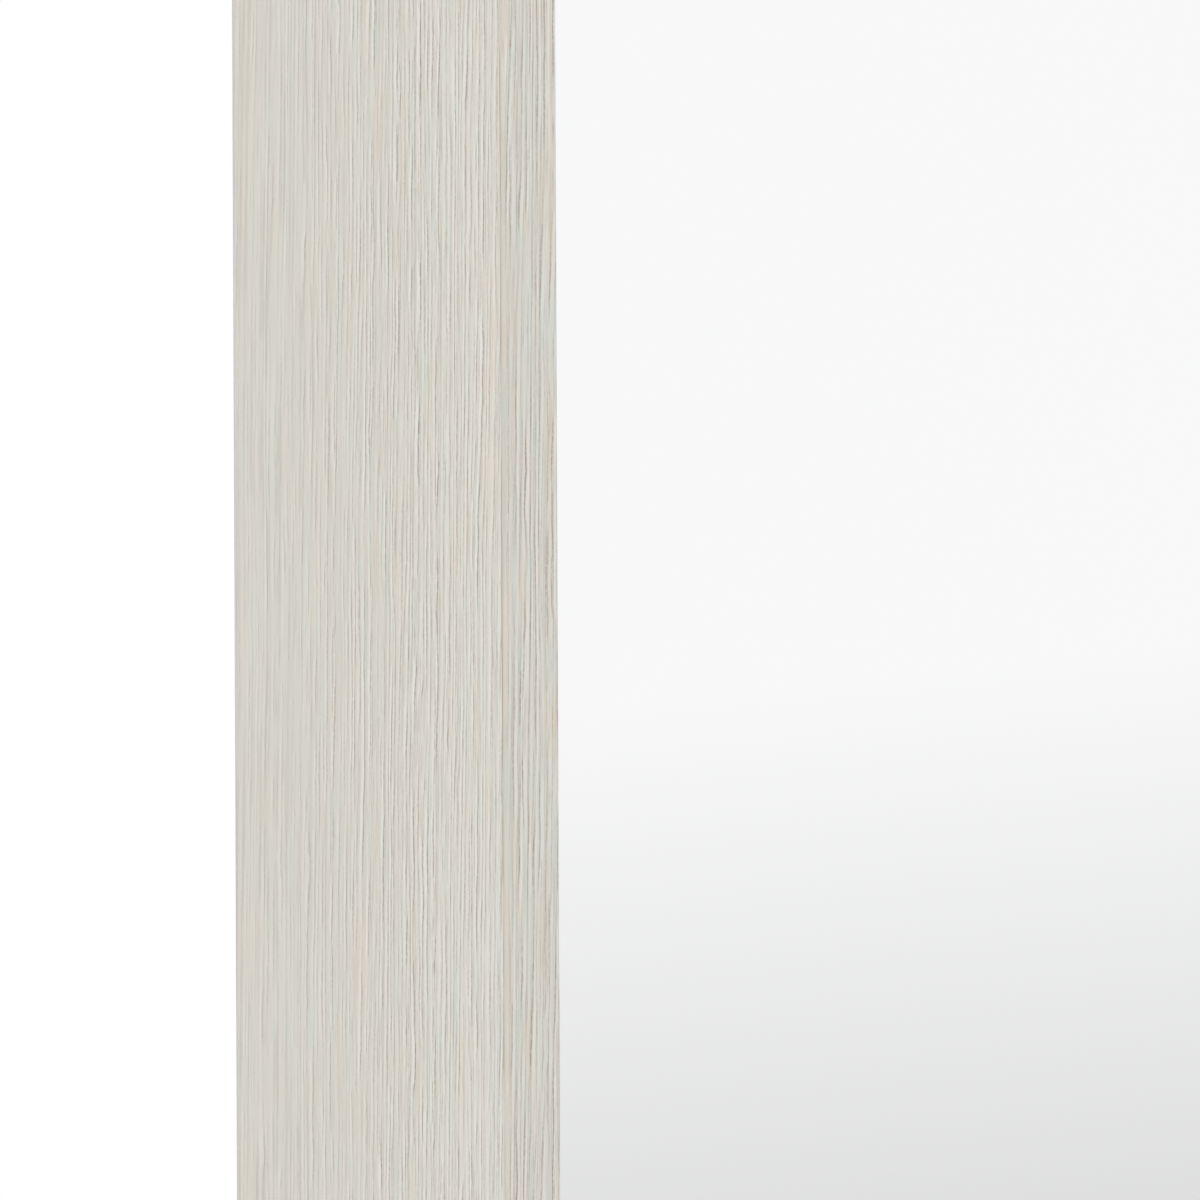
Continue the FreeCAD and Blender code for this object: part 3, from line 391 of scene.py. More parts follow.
class OakCoat(Coat):
    """Whitewashed oak. Its growth rings cross a piece at a slant, so that each face shows lines."""

    def __init__(self, name, look, cut, turn, shift):
        super().__init__(name, specular=0.25)
        self.look = look
        self.cut = cut
        self.grain = self.swayed(self.stretch(self.place, EVEN, turn, shift))
        self.masks = self.line_masks()

    def swayed(self, place):
        """Place in the grain, which sways gently across its run along Z."""
        sway = self.noise_node(self.stretch(place, SWAY_REPEATS)).outputs["Color"]
        drift = self.vector("SUBTRACT", sway, (0.5, 0.5, 0.5))
        reach = (self.cut.sway, self.cut.sway, 0.0)
        return self.vector("ADD", place, self.vector("MULTIPLY", drift, reach))

    def across_gap(self, repeats, along):
        """Scale of a pattern with repeats for each gap across the grain."""
        return (repeats / self.cut.gap, repeats / self.cut.gap, along)

    def line_masks(self):
        """Mask of each family of lines, with the pores and hair lines broken into dots."""
        lean = self.across_gap(1.0, self.cut.slant / self.cut.gap)
        count = self.vector("DOT_PRODUCT", self.grain, lean)
        bunch = self.long_noise(self.grain, self.across_gap(BUNCH_ACROSS, BUNCH_ALONG), detail=1.0)
        count = self.math("ADD", count, self.product(bunch, BUNCH_REACH))
        run = self.split(self.grain)["Z"]
        masks = {name: self.broken_lines(count, run, lines) for name, lines in FAMILIES.items()}
        grit = self.long_noise(self.grain, GRIT_REPEATS, detail=1.0)
        dots = self.ramp(grit, 0.3, 0.6, 0.5 * self.cut.dark, self.cut.dark)
        masks["pore"] = self.product(masks["pore"], dots)
        masks["hair"] = self.product(masks["hair"], dots, HAIR_STRENGTH)
        return masks

    def broken_lines(self, count, run, lines):
        """Mask of parallel lines, each with its own place, strength and breaks along the grain."""
        moved = self.math("SUBTRACT", self.product(count, lines.pace), lines.offset)
        number = self.math("ROUND", moved)
        draw = self.math("ADD", number, lines.seed)
        chance = self.add("ShaderNodeTexWhiteNoise", {"noise_dimensions": "1D"}, W=draw)
        share = self.split(chance.outputs["Color"])
        start = self.product(share["Z"], TRACK_START)
        along = self.math("ADD", self.product(run, 1 / (lines.stretch * self.cut.reach)), start)
        beside = self.product(number, TRACK_GAP)
        track = self.add("ShaderNodeCombineXYZ", X=beside, Y=along, Z=lines.seed)
        walk = self.noise_node(track.outputs[0], detail=3.0, roughness=0.6)
        jitter = self.ramp(share["X"], 0.0, 1.0, -LINE_JITTER, LINE_JITTER, smooth=False)
        wobble = self.split(walk.outputs["Color"])["Y"]
        wobble = self.ramp(wobble, 0.0, 1.0, -LINE_WOBBLE, LINE_WOBBLE, smooth=False)
        middle = self.math("ADD", jitter, wobble)
        distance = self.math("SUBTRACT", self.math("SUBTRACT", moved, number), middle)
        distance = self.math("ABSOLUTE", distance)
        line = self.ramp(distance, LINE_CORE * lines.width, lines.width, 1.0, 0.0)
        whole = self.ramp(walk.outputs["Fac"], *lines.breaks)
        strength = self.ramp(share["Y"], 0.0, 1.0, LINE_FAINTEST, 1.0, smooth=False)
        return self.product(line, whole, strength)

    def fade(self, share, *names):
        """Weaken some of the masks."""
        for name in names:
            self.masks[name] = self.product(self.masks[name], share)

    def wash(self, streaks):
        """Uneven wash with rosy and grey streaks of a given strength."""
        cloud = self.ramp(self.long_noise(self.grain, CLOUD_REPEATS, shift=CLOUD_SHIFT), 0.3, 0.7)
        tone = self.cut.tone
        wash = self.mix(cloud, scaled(self.look.wash, tone), scaled(self.look.tint, tone))
        repeats = self.across_gap(STREAK_ACROSS, STREAK_ALONG)
        streak = self.long_noise(self.grain, repeats, detail=1.0, shift=STREAK_SHIFT)
        hue = self.vector("MULTIPLY", self.math("SUBTRACT", streak, 0.5), self.cut.tint)
        hue = self.vector("MULTIPLY", hue, streaks)
        return self.tint(wash, self.vector("ADD", hue, EVEN))

    def with_lines(self, wash):
        """Wash with its fine lines on it, the pores last."""
        look = self.look
        colours = {"shade": look.shade, "pale": look.pale, "hair": look.pore, "pore": look.pore}
        for name, colour in colours.items():
            wash = self.mix(self.masks[name], wash, rgba(colour))
        return wash

    def oak_surface(self, colour):
        """Material with open pores and low, slightly smoother ridges."""
        ridges = self.product(self.masks["pale"], 0.3)
        relief = self.math("SUBTRACT", ridges, self.masks["pore"])
        roughness = self.ramp(self.masks["pale"], 0.0, 1.0, 0.62, 0.52)
        return self.surface(colour, roughness, relief, depth=self.look.pore_depth, strength=0.6)


def oak_board(name, look, cut, turn, shift):
    """Oak of a board. Towards the rear its fine lines get calm, and broad soft ones take their place."""
    coat = OakCoat(name, look, cut, turn, shift)
    depth = coat.split(coat.place)["Y"]
    keep = coat.ramp(depth, *CALM_DEPTHS, 1.0, CALM_SHARE)
    coat.fade(keep, *FINE_LINES)
    coat.fade(keep, "hair", "shade")
    coat.fade(coat.ramp(keep, CALM_SHARE, 1.0, REAR_SOFTNESS, 0.0), "soft")
    wash = coat.wash(coat.ramp(keep, CALM_SHARE, 1.0, CALM_STREAKS, 1.0))
    # The colour is made lighter towards the front of the board.
    wash = coat.tint(wash, coat.ramp(depth, *FRONT_DEPTHS, FRONT_LIGHTNESS, 1.0))
    wash = coat.mix(coat.masks["soft"], wash, rgba(look.shade))
    return coat.oak_surface(coat.with_lines(wash))


def oak_band(name, look, cut, turn, shift, axis, cut_edge, joint):
    """Oak of an edge band, stained at its cut edge, with a glue line where it meets its board."""
    coat = OakCoat(name, look, cut, turn, shift)
    spot = coat.split(coat.place)
    inward = coat.math("ABSOLUTE", coat.math("SUBTRACT", spot[axis], cut_edge))
    coat.fade(coat.ramp(inward, *EDGE_FADE, EDGE_SHARE, 1.0), *FINE_LINES)
    soft = coat.product(coat.masks["soft"], BAND_SOFTNESS)
    wash = coat.mix(soft, coat.wash(EVEN), rgba(look.pale))
    colour = coat.with_lines(wash)
    colour = coat.mix(coat.ramp(inward, *EDGE_STAIN, 1.0, 0.0), colour, rgba(look.stain), "MULTIPLY")
    glue = coat.ramp(spot["Y"], joint - GLUE_FRONT, joint - GLUE_BACK, 0.0, GLUE_STRENGTH)
    gaps = coat.ramp(coat.long_noise(coat.grain, GLUE_REPEATS, roughness=0.6), 0.38, 0.58)
    colour = coat.mix(coat.product(glue, gaps), colour, rgba(look.glue))
    return coat.oak_surface(colour)


# Other materials

RING_BEND = 5.0             # softwood rings that a bend crosses
LATE_WOOD = (0.30, 0.92)    # part of a ring over which it darkens
RING_END = (0.92, 0.99)     # part over which it turns pale again
FIBRE_DARK = (0.88, 0.85, 0.80, 1)
FIBRE_LIGHT = (1.08, 1.09, 1.11, 1)
COOL_ZINC = (0.97, 0.99, 1.03, 1)
WARM_ZINC = (1.03, 1.01, 0.95, 1)
FLOOR_FADE = (0.3, 0.98)    # shares of the floor's radius between which it fades out

# Strands of the fibreboard: their direction in degrees and their lightness.
STRANDS = ((12, 1.45), (47, 0.60), (78, 1.35), (118, 0.66), (155, 1.5))


def softwood(name, look, turn, pith):
    """Planed softwood, cut from rings about a pith line that lies beside the piece."""
    coat = Coat(name, specular=0.3)
    place = coat.stretch(coat.place, EVEN, turn, pith)
    bend = coat.long_noise(place, (16, 16, 2.5), detail=3.0)
    radius = coat.vector("LENGTH", coat.vector("MULTIPLY", place, (1, 1, 0)))
    rings = coat.math("ADD", coat.product(radius, 1 / look.ring_gap), coat.product(bend, RING_BEND))
    part = coat.math("FRACT", rings)
    late = coat.product(coat.ramp(part, *LATE_WOOD), coat.ramp(part, *RING_END, 1.0, 0.0))
    fibre = coat.long_noise(place, (1900, 1900, 30), detail=3.0, roughness=0.65)
    cloud = coat.long_noise(place, (40, 40, 8))
    duct = coat.long_noise(place, (2600, 2600, 160), detail=0.0, shift=(4.0, 9.0, 2.0))
    colour = coat.mix(late, rgba(look.early_wood), rgba(look.late_wood))
    colour = coat.tint(colour, coat.mix(coat.ramp(fibre, 0.25, 0.75), FIBRE_DARK, FIBRE_LIGHT))
    colour = coat.mix(coat.ramp(cloud, 0.35, 0.7, 0.0, 0.35), colour, scaled(look.early_wood, 0.86))
    colour = coat.mix(coat.ramp(duct, 0.70, 0.80, 0.0, 0.5), colour, scaled(look.late_wood, 0.6))
    roughness = coat.ramp(late, 0.0, 1.0, 0.66, 0.52)
    return coat.surface(colour, roughness, coat.math("ADD", late, fibre), depth=0.12 * MM)


def fibreboard(look):
    """Bare fibreboard: pressed strands that lie in every direction of the sheet."""
    coat = Coat("bare_fibreboard", specular=0.2)
    felt = coat.noise(coat.place, detail=5.0, roughness=0.65, scale=420.0)
    colour = coat.mix(coat.ramp(felt, 0.3, 0.7), scaled(look.board, 0.80), scaled(look.board, 1.18))
    for turn, lightness in STRANDS:
        shift = (0.3 * turn, 0.0, 0.7 * turn)
        lay = coat.stretch(coat.place, EVEN, (0.0, math.radians(turn), 0.0), shift)
        strand = coat.long_noise(lay, (4200, 4200, 360), detail=1.0)
        strand = coat.ramp(strand, 0.60, 0.74, 0.0, 0.45)
        colour = coat.mix(strand, colour, scaled(look.board, lightness))
    blotch = coat.noise(coat.place, scale=9.0)
    colour = coat.mix(coat.ramp(blotch, 0.35, 0.7, 0.0, 0.25), colour, scaled(look.board, 0.86))
    roughness = coat.ramp(felt, 0.3, 0.7, 0.82, 0.68)
    return coat.surface(colour, roughness, felt, depth=0.15 * MM)


def zinc(name, look, spangle):
    """Zinc on steel: a crystal bloom of the given strength, a faint tinge and handling marks."""
    coat = Coat(name, metallic=1.0)
    crystals = coat.add("ShaderNodeTexVoronoi", Vector=coat.place, Scale=900.0).outputs["Color"]
    bloom = coat.split(crystals)["X"]
    film = coat.noise(coat.place, detail=3.0, scale=130.0)
    scuff = coat.long_noise(coat.place, (4000, 700, 700), roughness=0.6)
    colour = coat.mix(bloom, scaled(look.steel, 1 - spangle), scaled(look.steel, 1 + spangle))
    colour = coat.tint(colour, coat.mix(coat.ramp(film, 0.35, 0.65), COOL_ZINC, WARM_ZINC))
    gloss = coat.ramp(film, 0.3, 0.7, 0.22, 0.36)
    roughness = coat.math("ADD", gloss, coat.ramp(scuff, 0.55, 0.8, 0.0, 0.12))
    return coat.surface(colour, roughness, scuff, depth=0.02 * MM, strength=0.3)


def rubber(name, look):
    """Matt moulded rubber with a fine pebbled skin and a little dust."""
    coat = Coat(name, specular=0.35)
    pebble = coat.add("ShaderNodeTexVoronoi", Vector=coat.place, Scale=1800.0).outputs["Distance"]
    dust = coat.noise(coat.place, detail=4.0, roughness=0.6, scale=160.0)
    colour = coat.mix(coat.ramp(dust, 0.45, 0.8, 0.0, 0.6), rgba(look.rubber), scaled(look.rubber, 2.2))
    roughness = coat.ramp(dust, 0.3, 0.7, 0.60, 0.80)
    return coat.surface(colour, roughness, pebble, depth=0.10 * MM)


def foam(look):
    """Closed-cell foam of the glazing tape."""
    coat = Coat("foam_tape")
    cells = coat.add("ShaderNodeTexVoronoi", Vector=coat.place, Scale=3500.0).outputs["Distance"]
    colour = coat.mix(cells, scaled(look.rubber, 2.6), scaled(look.rubber, 1.6))
    roughness = coat.ramp(cells, 0.0, 0.6, 0.75, 0.92)
    return coat.surface(colour, roughness, cells, depth=0.08 * MM)


def safety_film(look):
    """Safety film with a plain square weave."""
    coat = Coat("woven_film")
    threads = []
    for turn in (0.0, math.radians(90)):
        lay = coat.stretch(coat.place, EVEN, (0.0, turn, 0.0))
        wave = coat.add("ShaderNodeTexWave", Vector=lay, Scale=160.0, Distortion=0.3)
        threads.append(wave.outputs["Fac"])
    weave = coat.math("MAXIMUM", *threads)
    colour = coat.mix(weave, scaled(look.film, 0.82), rgba(look.film))
    roughness = coat.ramp(weave, 0.0, 1.0, 0.55, 0.40)
    return coat.surface(colour, roughness, weave, depth=0.05 * MM)


def silvered_glass(look):
    """Clean silvered glass with the faintest haze."""
    coat = Coat("silvered_glass", metallic=1.0)
    haze = coat.noise(coat.place, detail=3.0, roughness=0.6, scale=14.0)
    colour = coat.mix(haze, rgba(look.silver), scaled(look.silver, 0.997))
    return coat.surface(colour, coat.ramp(haze, 0.3, 0.7, 0.0, 0.004))


def floor_paint(look):
    """Pale paint of the floor, which fades out towards its rim."""
    coat = Coat("floor_paint", specular=0.2)
    cloud = coat.noise(coat.place, detail=3.0, scale=2.0)
    colour = coat.mix(cloud, rgba(look.floor_colour), scaled(look.floor_colour, 0.985))
    material = coat.surface(colour, roughness=0.8)
    reach = coat.vector("LENGTH", coat.place)
    fade = coat.ramp(reach, *(share * look.floor_radius for share in FLOOR_FADE))
    coat.blend(fade, coat.shader, coat.add("ShaderNodeBsdfTransparent"), "Material Output")
    return material


# Pieces that keep their CAD shape

class MIRROR_OT_frame(bpy.types.Operator):
    """Finish the stiles and rails in whitewashed oak"""

    bl_idname = "floor_mirror.frame"
    bl_label = "Frame boards"

    def execute(self, context):
        look = context.scene.mirror_oak
        cut = OakCut(
            gap=look.board_gap, sway=1.4 * MM, slant=0.012, tint=(0.16, -0.06, -0.14),
            dark=0.86, tone=0.995, reach=16 * MM)
        for index, (side, member) in enumerate(MEMBERS.items()):
            shift = (0.37 * index, 0.21 * index, 1.3 * index)
            dress(member, oak_board(f"oak_{member}", look, cut, GRAIN[side], shift))
        return {"FINISHED"}


class MIRROR_OT_edge_bands(bpy.types.Operator):
    """Finish the edge bands on the front of the frame"""

    bl_idname = "floor_mirror.edge_bands"
    bl_label = "Edge bands"

    def execute(self, context):
        look = context.scene.mirror_oak
        cut = OakCut(
            gap=look.band_gap, sway=3 * MM, slant=-0.024, tint=(0.28, -0.11, -0.25),
            dark=1.14, tone=0.990, reach=22 * MM)
        low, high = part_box("bottom_edge_band")
        cut_edges = {
            "left": ("X", CAD_LOW.x),
            "right": ("X", CAD_HIGH.x),
            "top": ("Z", CAD_HIGH.z),
            "bottom": ("Z", low.z),
        }
        for index, (side, (axis, cut_edge)) in enumerate(cut_edges.items()):
            shift = (0.11 + 0.29 * index, 0.47, 0.83 * index)
            band = oak_band(f"oak_{side}_band", look, cut, GRAIN[side], shift, axis, cut_edge, high.y)
            dress(f"{side}_edge_band", band)
        return {"FINISHED"}


class MIRROR_OT_pane(bpy.types.Operator):
    """Finish the silvered pane"""

    bl_idname = "floor_mirror.pane"
    bl_label = "Mirror pane"

    def execute(self, context):
        dress("mirror_glass", silvered_glass(context.scene.mirror_glass))
        return {"FINISHED"}


class MIRROR_OT_bedding(bpy.types.Operator):
    """Finish the splines of the mitres and what the pane is bedded in"""

    bl_idname = "floor_mirror.bedding"
    bl_label = "Pane bedding"

    def execute(self, context):
        look = context.scene.mirror_back
        dress("glazing_tape", foam(look))
        dress("setting_blocks", rubber("block_rubber", look))
        dress("safety_film", safety_film(look))
        dress("mitre_splines", softwood("spline_timber", look, UPRIGHT_GRAIN, (30 * MM, 50 * MM, 0.0)))
        return {"FINISHED"}


class MIRROR_OT_backing(bpy.types.Operator):
    """Finish the backing board"""

    bl_idname = "floor_mirror.backing"
    bl_label = "Backing board"

    def execute(self, context):
        dress("backing_board", fibreboard(context.scene.mirror_back))
        return {"FINISHED"}


class MIRROR_OT_battens(bpy.types.Operator):
    """Finish the battens and the back braces in bare softwood"""

    bl_idname = "floor_mirror.battens"
    bl_label = "Battens and braces"

    def execute(self, context):
        look = context.scene.mirror_back
        for index, side in enumerate(MEMBERS):
            pith = Vector((45 * MM, (30 + 10 * index) * MM, 0.7 * index))
            self.saw(f"{side}_batten", look, GRAIN[side], pith)
        for index, brace in enumerate(("upper_brace", "lower_brace")):
            pith = Vector(((12 - 30 * index) * MM, (34 + 20 * index) * MM, 1.9 * index))
            self.saw(brace, look, LEVEL_GRAIN, pith)
        return {"FINISHED"}

    def saw(self, node, look, turn, pith):
        """Softwood for one piece, sawn from a log whose pith lies beside the middle of the piece."""
        low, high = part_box(node)
        middle = Matrix.Rotation(turn[1], 3, "Y") @ ((low + high) / 2)
        dress(node, softwood(f"softwood_{node}", look, turn, pith - middle * Vector((1, 1, 0))))


class MIRROR_OT_brackets(bpy.types.Operator):
    """Finish the corner brackets in galvanised sheet"""

    bl_idname = "floor_mirror.brackets"
    bl_label = "Corner brackets"

    def execute(self, context):
        sheet = zinc("galvanised_bracket", context.scene.mirror_back, spangle=0.07)
        for corner in CORNERS:
            dress(f"{corner}_bracket", sheet)
        return {"FINISHED"}


# Pieces that are modelled anew

SMOOTH_ANGLE = math.radians(30)
SCREW_STEPS = 40
PAN_SEGMENTS = 6
SUNK_SEGMENTS = 2
RECESS_TAPER = 0.7          # size of a recess at its floor, where it is 1 at the top
FOLD_STEPS = 30
NECK_STEPS = 10
STRAP_SEGMENTS = 8
EDGE_SEGMENTS = 2
CORNER_SEGMENTS = 6
RIM_SEGMENTS = 4


def new_piece(name, shape, node, material):
    """Turn a shape into a piece that rides on the frame and stands for a CAD node."""
    bmesh.ops.remove_doubles(shape, verts=shape.verts, dist=MERGE)
    bmesh.ops.recalc_face_normals(shape, faces=shape.faces)
    mesh = bpy.data.meshes.new(name)
    shape.to_mesh(mesh)
    shape.free()
    mesh.shade_smooth()
    mesh.set_sharp_from_angle(angle=SMOOTH_ANGLE)
    mesh.materials.append(material)
    piece = bpy.data.objects.new(name, mesh)
    bpy.context.scene.collection.objects.link(piece)
    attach(piece, "frame")
    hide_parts(node)
    return piece


def points_of(items):
    """Points among the items that a bmesh operator gives back."""
    return [item for item in items if isinstance(item, bmesh.types.BMVert)]


def faces_at(shape, height):
    """Level faces of a shape at a height."""
    return [
        face for face in shape.faces
        if all(abs(vertex.co.z - height) < MERGE for vertex in face.verts)]


def slice_faces(shape, faces, point, normal):
    """Cut some faces of a shape along a plane."""
    edges = dict.fromkeys(edge for face in faces for edge in face.edges)
    points = dict.fromkeys(vertex for face in faces for vertex in face.verts)
    bmesh.ops.bisect_plane(
        shape, geom=[*faces, *edges, *points], dist=MERGE / 10, plane_co=point, plane_no=normal)


def round_off(shape, items, radius, segments, affect="EDGES"):
    """Round some edges, or some corners, of a shape."""
    bmesh.ops.bevel(
        shape, geom=items, offset=radius, offset_type="OFFSET", affect=affect, segments=segments,
        profile=0.5, material=-1)


def islands(shape):
    """Points of each separate solid of a shape."""
    for vertex in shape.verts:
        vertex.tag = False
    for seed in shape.verts:
        if seed.tag:
            continue
        seed.tag = True
        found = [seed]
        for vertex in found:
            for edge in vertex.link_edges:
                other = edge.other_vert(vertex)
                if not other.tag:
                    other.tag = True
                    found.append(other)
        yield [vertex.co.copy() for vertex in found]


class ScrewPlace(NamedTuple):
    """One screw of a CAD group."""

    top: Vector         # middle of its top face
    outward: Vector     # the way that its head looks
    head_radius: float
    length: float       # top face to tip


def screw_places(node):
    """Where each screw of a CAD group sits. The head is the end with more points."""
    shape = bmesh.new()
    shape.from_mesh(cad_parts[node].data)
    bmesh.ops.remove_doubles(shape, verts=shape.verts, dist=MERGE)
    places = []
    for points in islands(shape):
        low = Vector([min(axis) for axis in zip(*points)])
        high = Vector([max(axis) for axis in zip(*points)])
        size = high - low
        middle = (low + high) / 2
        axis = max(range(3), key=lambda index: size[index])
        mean = sum(points, Vector()) / len(points)
        outward = Vector()
        outward[axis] = math.copysign(1.0, mean[axis] - middle[axis])
        top = middle + outward * size[axis] / 2
        places.append(ScrewPlace(top, outward, min(size) / 2, size[axis]))
    shape.free()
    return places


def sink_cross(shape, sizes):
    """Press a tapered cross into the top face of a screw."""
    half = sizes.recess_width / 2
    reach = sizes.recess_reach
    for normal in (Vector((1, 0, 0)), Vector((0, 1, 0))):
        for offset in (-reach, -half, half, reach):
            slice_faces(shape, faces_at(shape, 0.0), normal * offset, normal)
    cross = []
    for face in faces_at(shape, 0.0):
        near, far = sorted(abs(part) for part in face.calc_center_median().xy)
        if near < half and far < reach:
            cross.append(face)
    grown = bmesh.ops.extrude_face_region(shape, geom=cross)["geom"]
    bmesh.ops.delete(shape, geom=[face for face in cross if face.is_valid], context="FACES")
    floor = points_of(grown)
    bmesh.ops.translate(shape, verts=floor, vec=(0, 0, -sizes.recess_depth))
    bmesh.ops.scale(shape, verts=floor, vec=(RECESS_TAPER, RECESS_TAPER, 1.0))


def turned_screw(sizes, place, sunk):
    """Screw below the origin, turned about Z, with its top face at the origin."""
    shank = sizes.shank
    head = place.head_radius
    seat = head - shank if sunk else sizes.head_height
    tip = [(0.0, -place.length), (shank, 2 * shank - place.length)]
    side = [(head, 0.0)] if sunk else [(head, -seat), (head, 0.0)]
    outline = [*tip, (shank, -seat), *side, (0.0, 0.0)]
    shape = bmesh.new()
    points = [shape.verts.new((radius, 0.0, height)) for radius, height in outline]
    edges = [shape.edges.new(pair) for pair in zip(points, points[1:])]
    bmesh.ops.spin(
        shape, geom=points + edges, cent=(0, 0, 0), axis=(0, 0, 1), angle=math.tau, steps=SCREW_STEPS,
        use_merge=True)
    bmesh.ops.remove_doubles(shape, verts=shape.verts, dist=MERGE)
    rim = []
    for edge in shape.edges:
        if all(abs(vertex.co.z) < MERGE and vertex.co.xy.length > head - MERGE for vertex in edge.verts):
            rim.append(edge)
    if sunk:
        round_off(shape, rim, sizes.sunk_round, SUNK_SEGMENTS)
    else:
        round_off(shape, rim, sizes.head_round, PAN_SEGMENTS)
    sink_cross(shape, sizes)
    bmesh.ops.recalc_face_normals(shape, faces=shape.faces)
    return shape


def screw_set(name, node, sizes, sunk, material):
    """All screws of a CAD group, each driven home at its own angle."""
    places = screw_places(node)
    pattern = bpy.data.meshes.new(f"{name}_pattern")
    single = turned_screw(sizes, places[0], sunk)
    single.to_mesh(pattern)
    single.free()
    shape = bmesh.new()
    for place in places:
        first = len(shape.verts)
        shape.from_mesh(pattern)
        shape.verts.ensure_lookup_table()
        look_out = Vector((0, 0, 1)).rotation_difference(place.outward).to_matrix().to_4x4()
        driven = Matrix.Rotation(sum(place.top) / MM, 4, "Z")
        bmesh.ops.transform(
            shape, matrix=Matrix.Translation(place.top) @ look_out @ driven, verts=shape.verts[first:])
    bpy.data.meshes.remove(pattern)
    new_piece(name, shape, node, material)


class MIRROR_OT_screws(bpy.types.Operator):
    """Turn the screws, with a cross in every head"""

    bl_idname = "floor_mirror.screws"
    bl_label = "Screws"

    def execute(self, context):
        sizes = context.scene.mirror_fittings
        plate = zinc("bright_zinc", context.scene.mirror_back, spangle=0.02)
        for group, sunk in (("batten", True), ("brace", True), ("hanger", False), ("bracket", False)):
            kind = "sunk" if sunk else "pan"
            screw_set(f"{kind}_{group}_screws", f"{group}_screws", sizes, sunk, plate)
        return {"FINISHED"}


class MIRROR_OT_hangers(bpy.types.Operator):
    """Fold the hanger plates round the bars of their rings"""

    bl_idname = "floor_mirror.hangers"
    bl_label = "Hangers"

    def execute(self, context):
        sizes = context.scene.mirror_fittings
        sheet = zinc("galvanised_hanger", context.scene.mirror_back, spangle=0.06)
        wire = zinc("bright_wire", context.scene.mirror_back, spangle=0.02)
        for side in UPRIGHT_SIDES:
            self.fold(side, sizes, sheet)
            dress(f"{side}_hanger_ring", wire)
        return {"FINISHED"}

    def fold(self, side, sizes, material):
        """One strip that runs up the brace, round the bar and down over itself."""
        node = f"{side}_hanger_plate"
        low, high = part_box(node)
        sheet = sizes.strap_sheet
        eye_radius = (high.y - low.y - sheet) / 2
        neck_radius = eye_radius - sheet
        eye = Vector((low.x, low.y + sheet / 2 + eye_radius, high.z - sheet / 2 - eye_radius))
        neck = eye - Vector((0.0, 0.0, eye_radius + neck_radius))
        bends = ((eye, math.radians(-270), FOLD_STEPS), (neck, math.radians(90), NECK_STEPS))
        shape = bmesh.new()
        start = shape.verts.new((low.x, low.y + sheet / 2, eye.z))
        last = start
        for centre, angle, steps in bends:
            bend = bmesh.ops.spin(
                shape, geom=[last], cent=centre, axis=(1, 0, 0), angle=angle, steps=steps)
            last = points_of(bend["geom_last"])[0]
        for end in (start, last):
            foot = bmesh.ops.extrude_vert_indiv(shape, verts=[end])["verts"][0]
            foot.co.z = low.z
        across = bmesh.ops.extrude_edge_only(shape, edges=shape.edges[:])["geom"]
        bmesh.ops.translate(shape, verts=points_of(across), vec=(high.x - low.x, 0, 0))
        corners = [vertex for vertex in shape.verts if abs(vertex.co.z - low.z) < MERGE]
        round_off(shape, corners, sizes.strap_round, STRAP_SEGMENTS, affect="VERTICES")
        piece = new_piece(f"{side}_folded_hanger", shape, node, material)
        wall = piece.modifiers.new("sheet", "SOLIDIFY")
        wall.thickness = sheet
        wall.offset = 0.0
        edge = piece.modifiers.new("edge", "BEVEL")
        edge.width = sizes.strap_edge
        edge.segments = EDGE_SEGMENTS
        edge.limit_method = "ANGLE"


def ribbed_slab(size, corner, rim, pitch, sizes):
    """Slab on the origin with a rounded rim and shallow grooves across its upper face."""
    shape = bmesh.new()
    bmesh.ops.create_cube(shape, size=1.0)
    bmesh.ops.scale(shape, verts=shape.verts, vec=size)
    bmesh.ops.translate(shape, verts=shape.verts, vec=(0, 0, size.z / 2))
    upright = [edge for edge in shape.edges if edge.verts[0].co.xy == edge.verts[1].co.xy]
    round_off(shape, upright, corner, CORNER_SEGMENTS)
    upper = [edge for edge in shape.edges if all(vertex.co.z > size.z - MERGE for vertex in edge.verts)]
    round_off(shape, upper, rim, RIM_SEGMENTS)
    count = round((size.x - 2 * corner) / pitch)
    reach = count / 2 * pitch
    for index in range(count + 1):
        slice_faces(shape, faces_at(shape, size.z), (index * pitch - reach, 0, 0), (1, 0, 0))
    strips = [face for face in faces_at(shape, size.z) if abs(face.calc_center_median().x) < reach]
    bmesh.ops.inset_individual(
        shape, faces=strips, thickness=sizes.rib, depth=-sizes.groove, use_even_offset=True)
    return shape


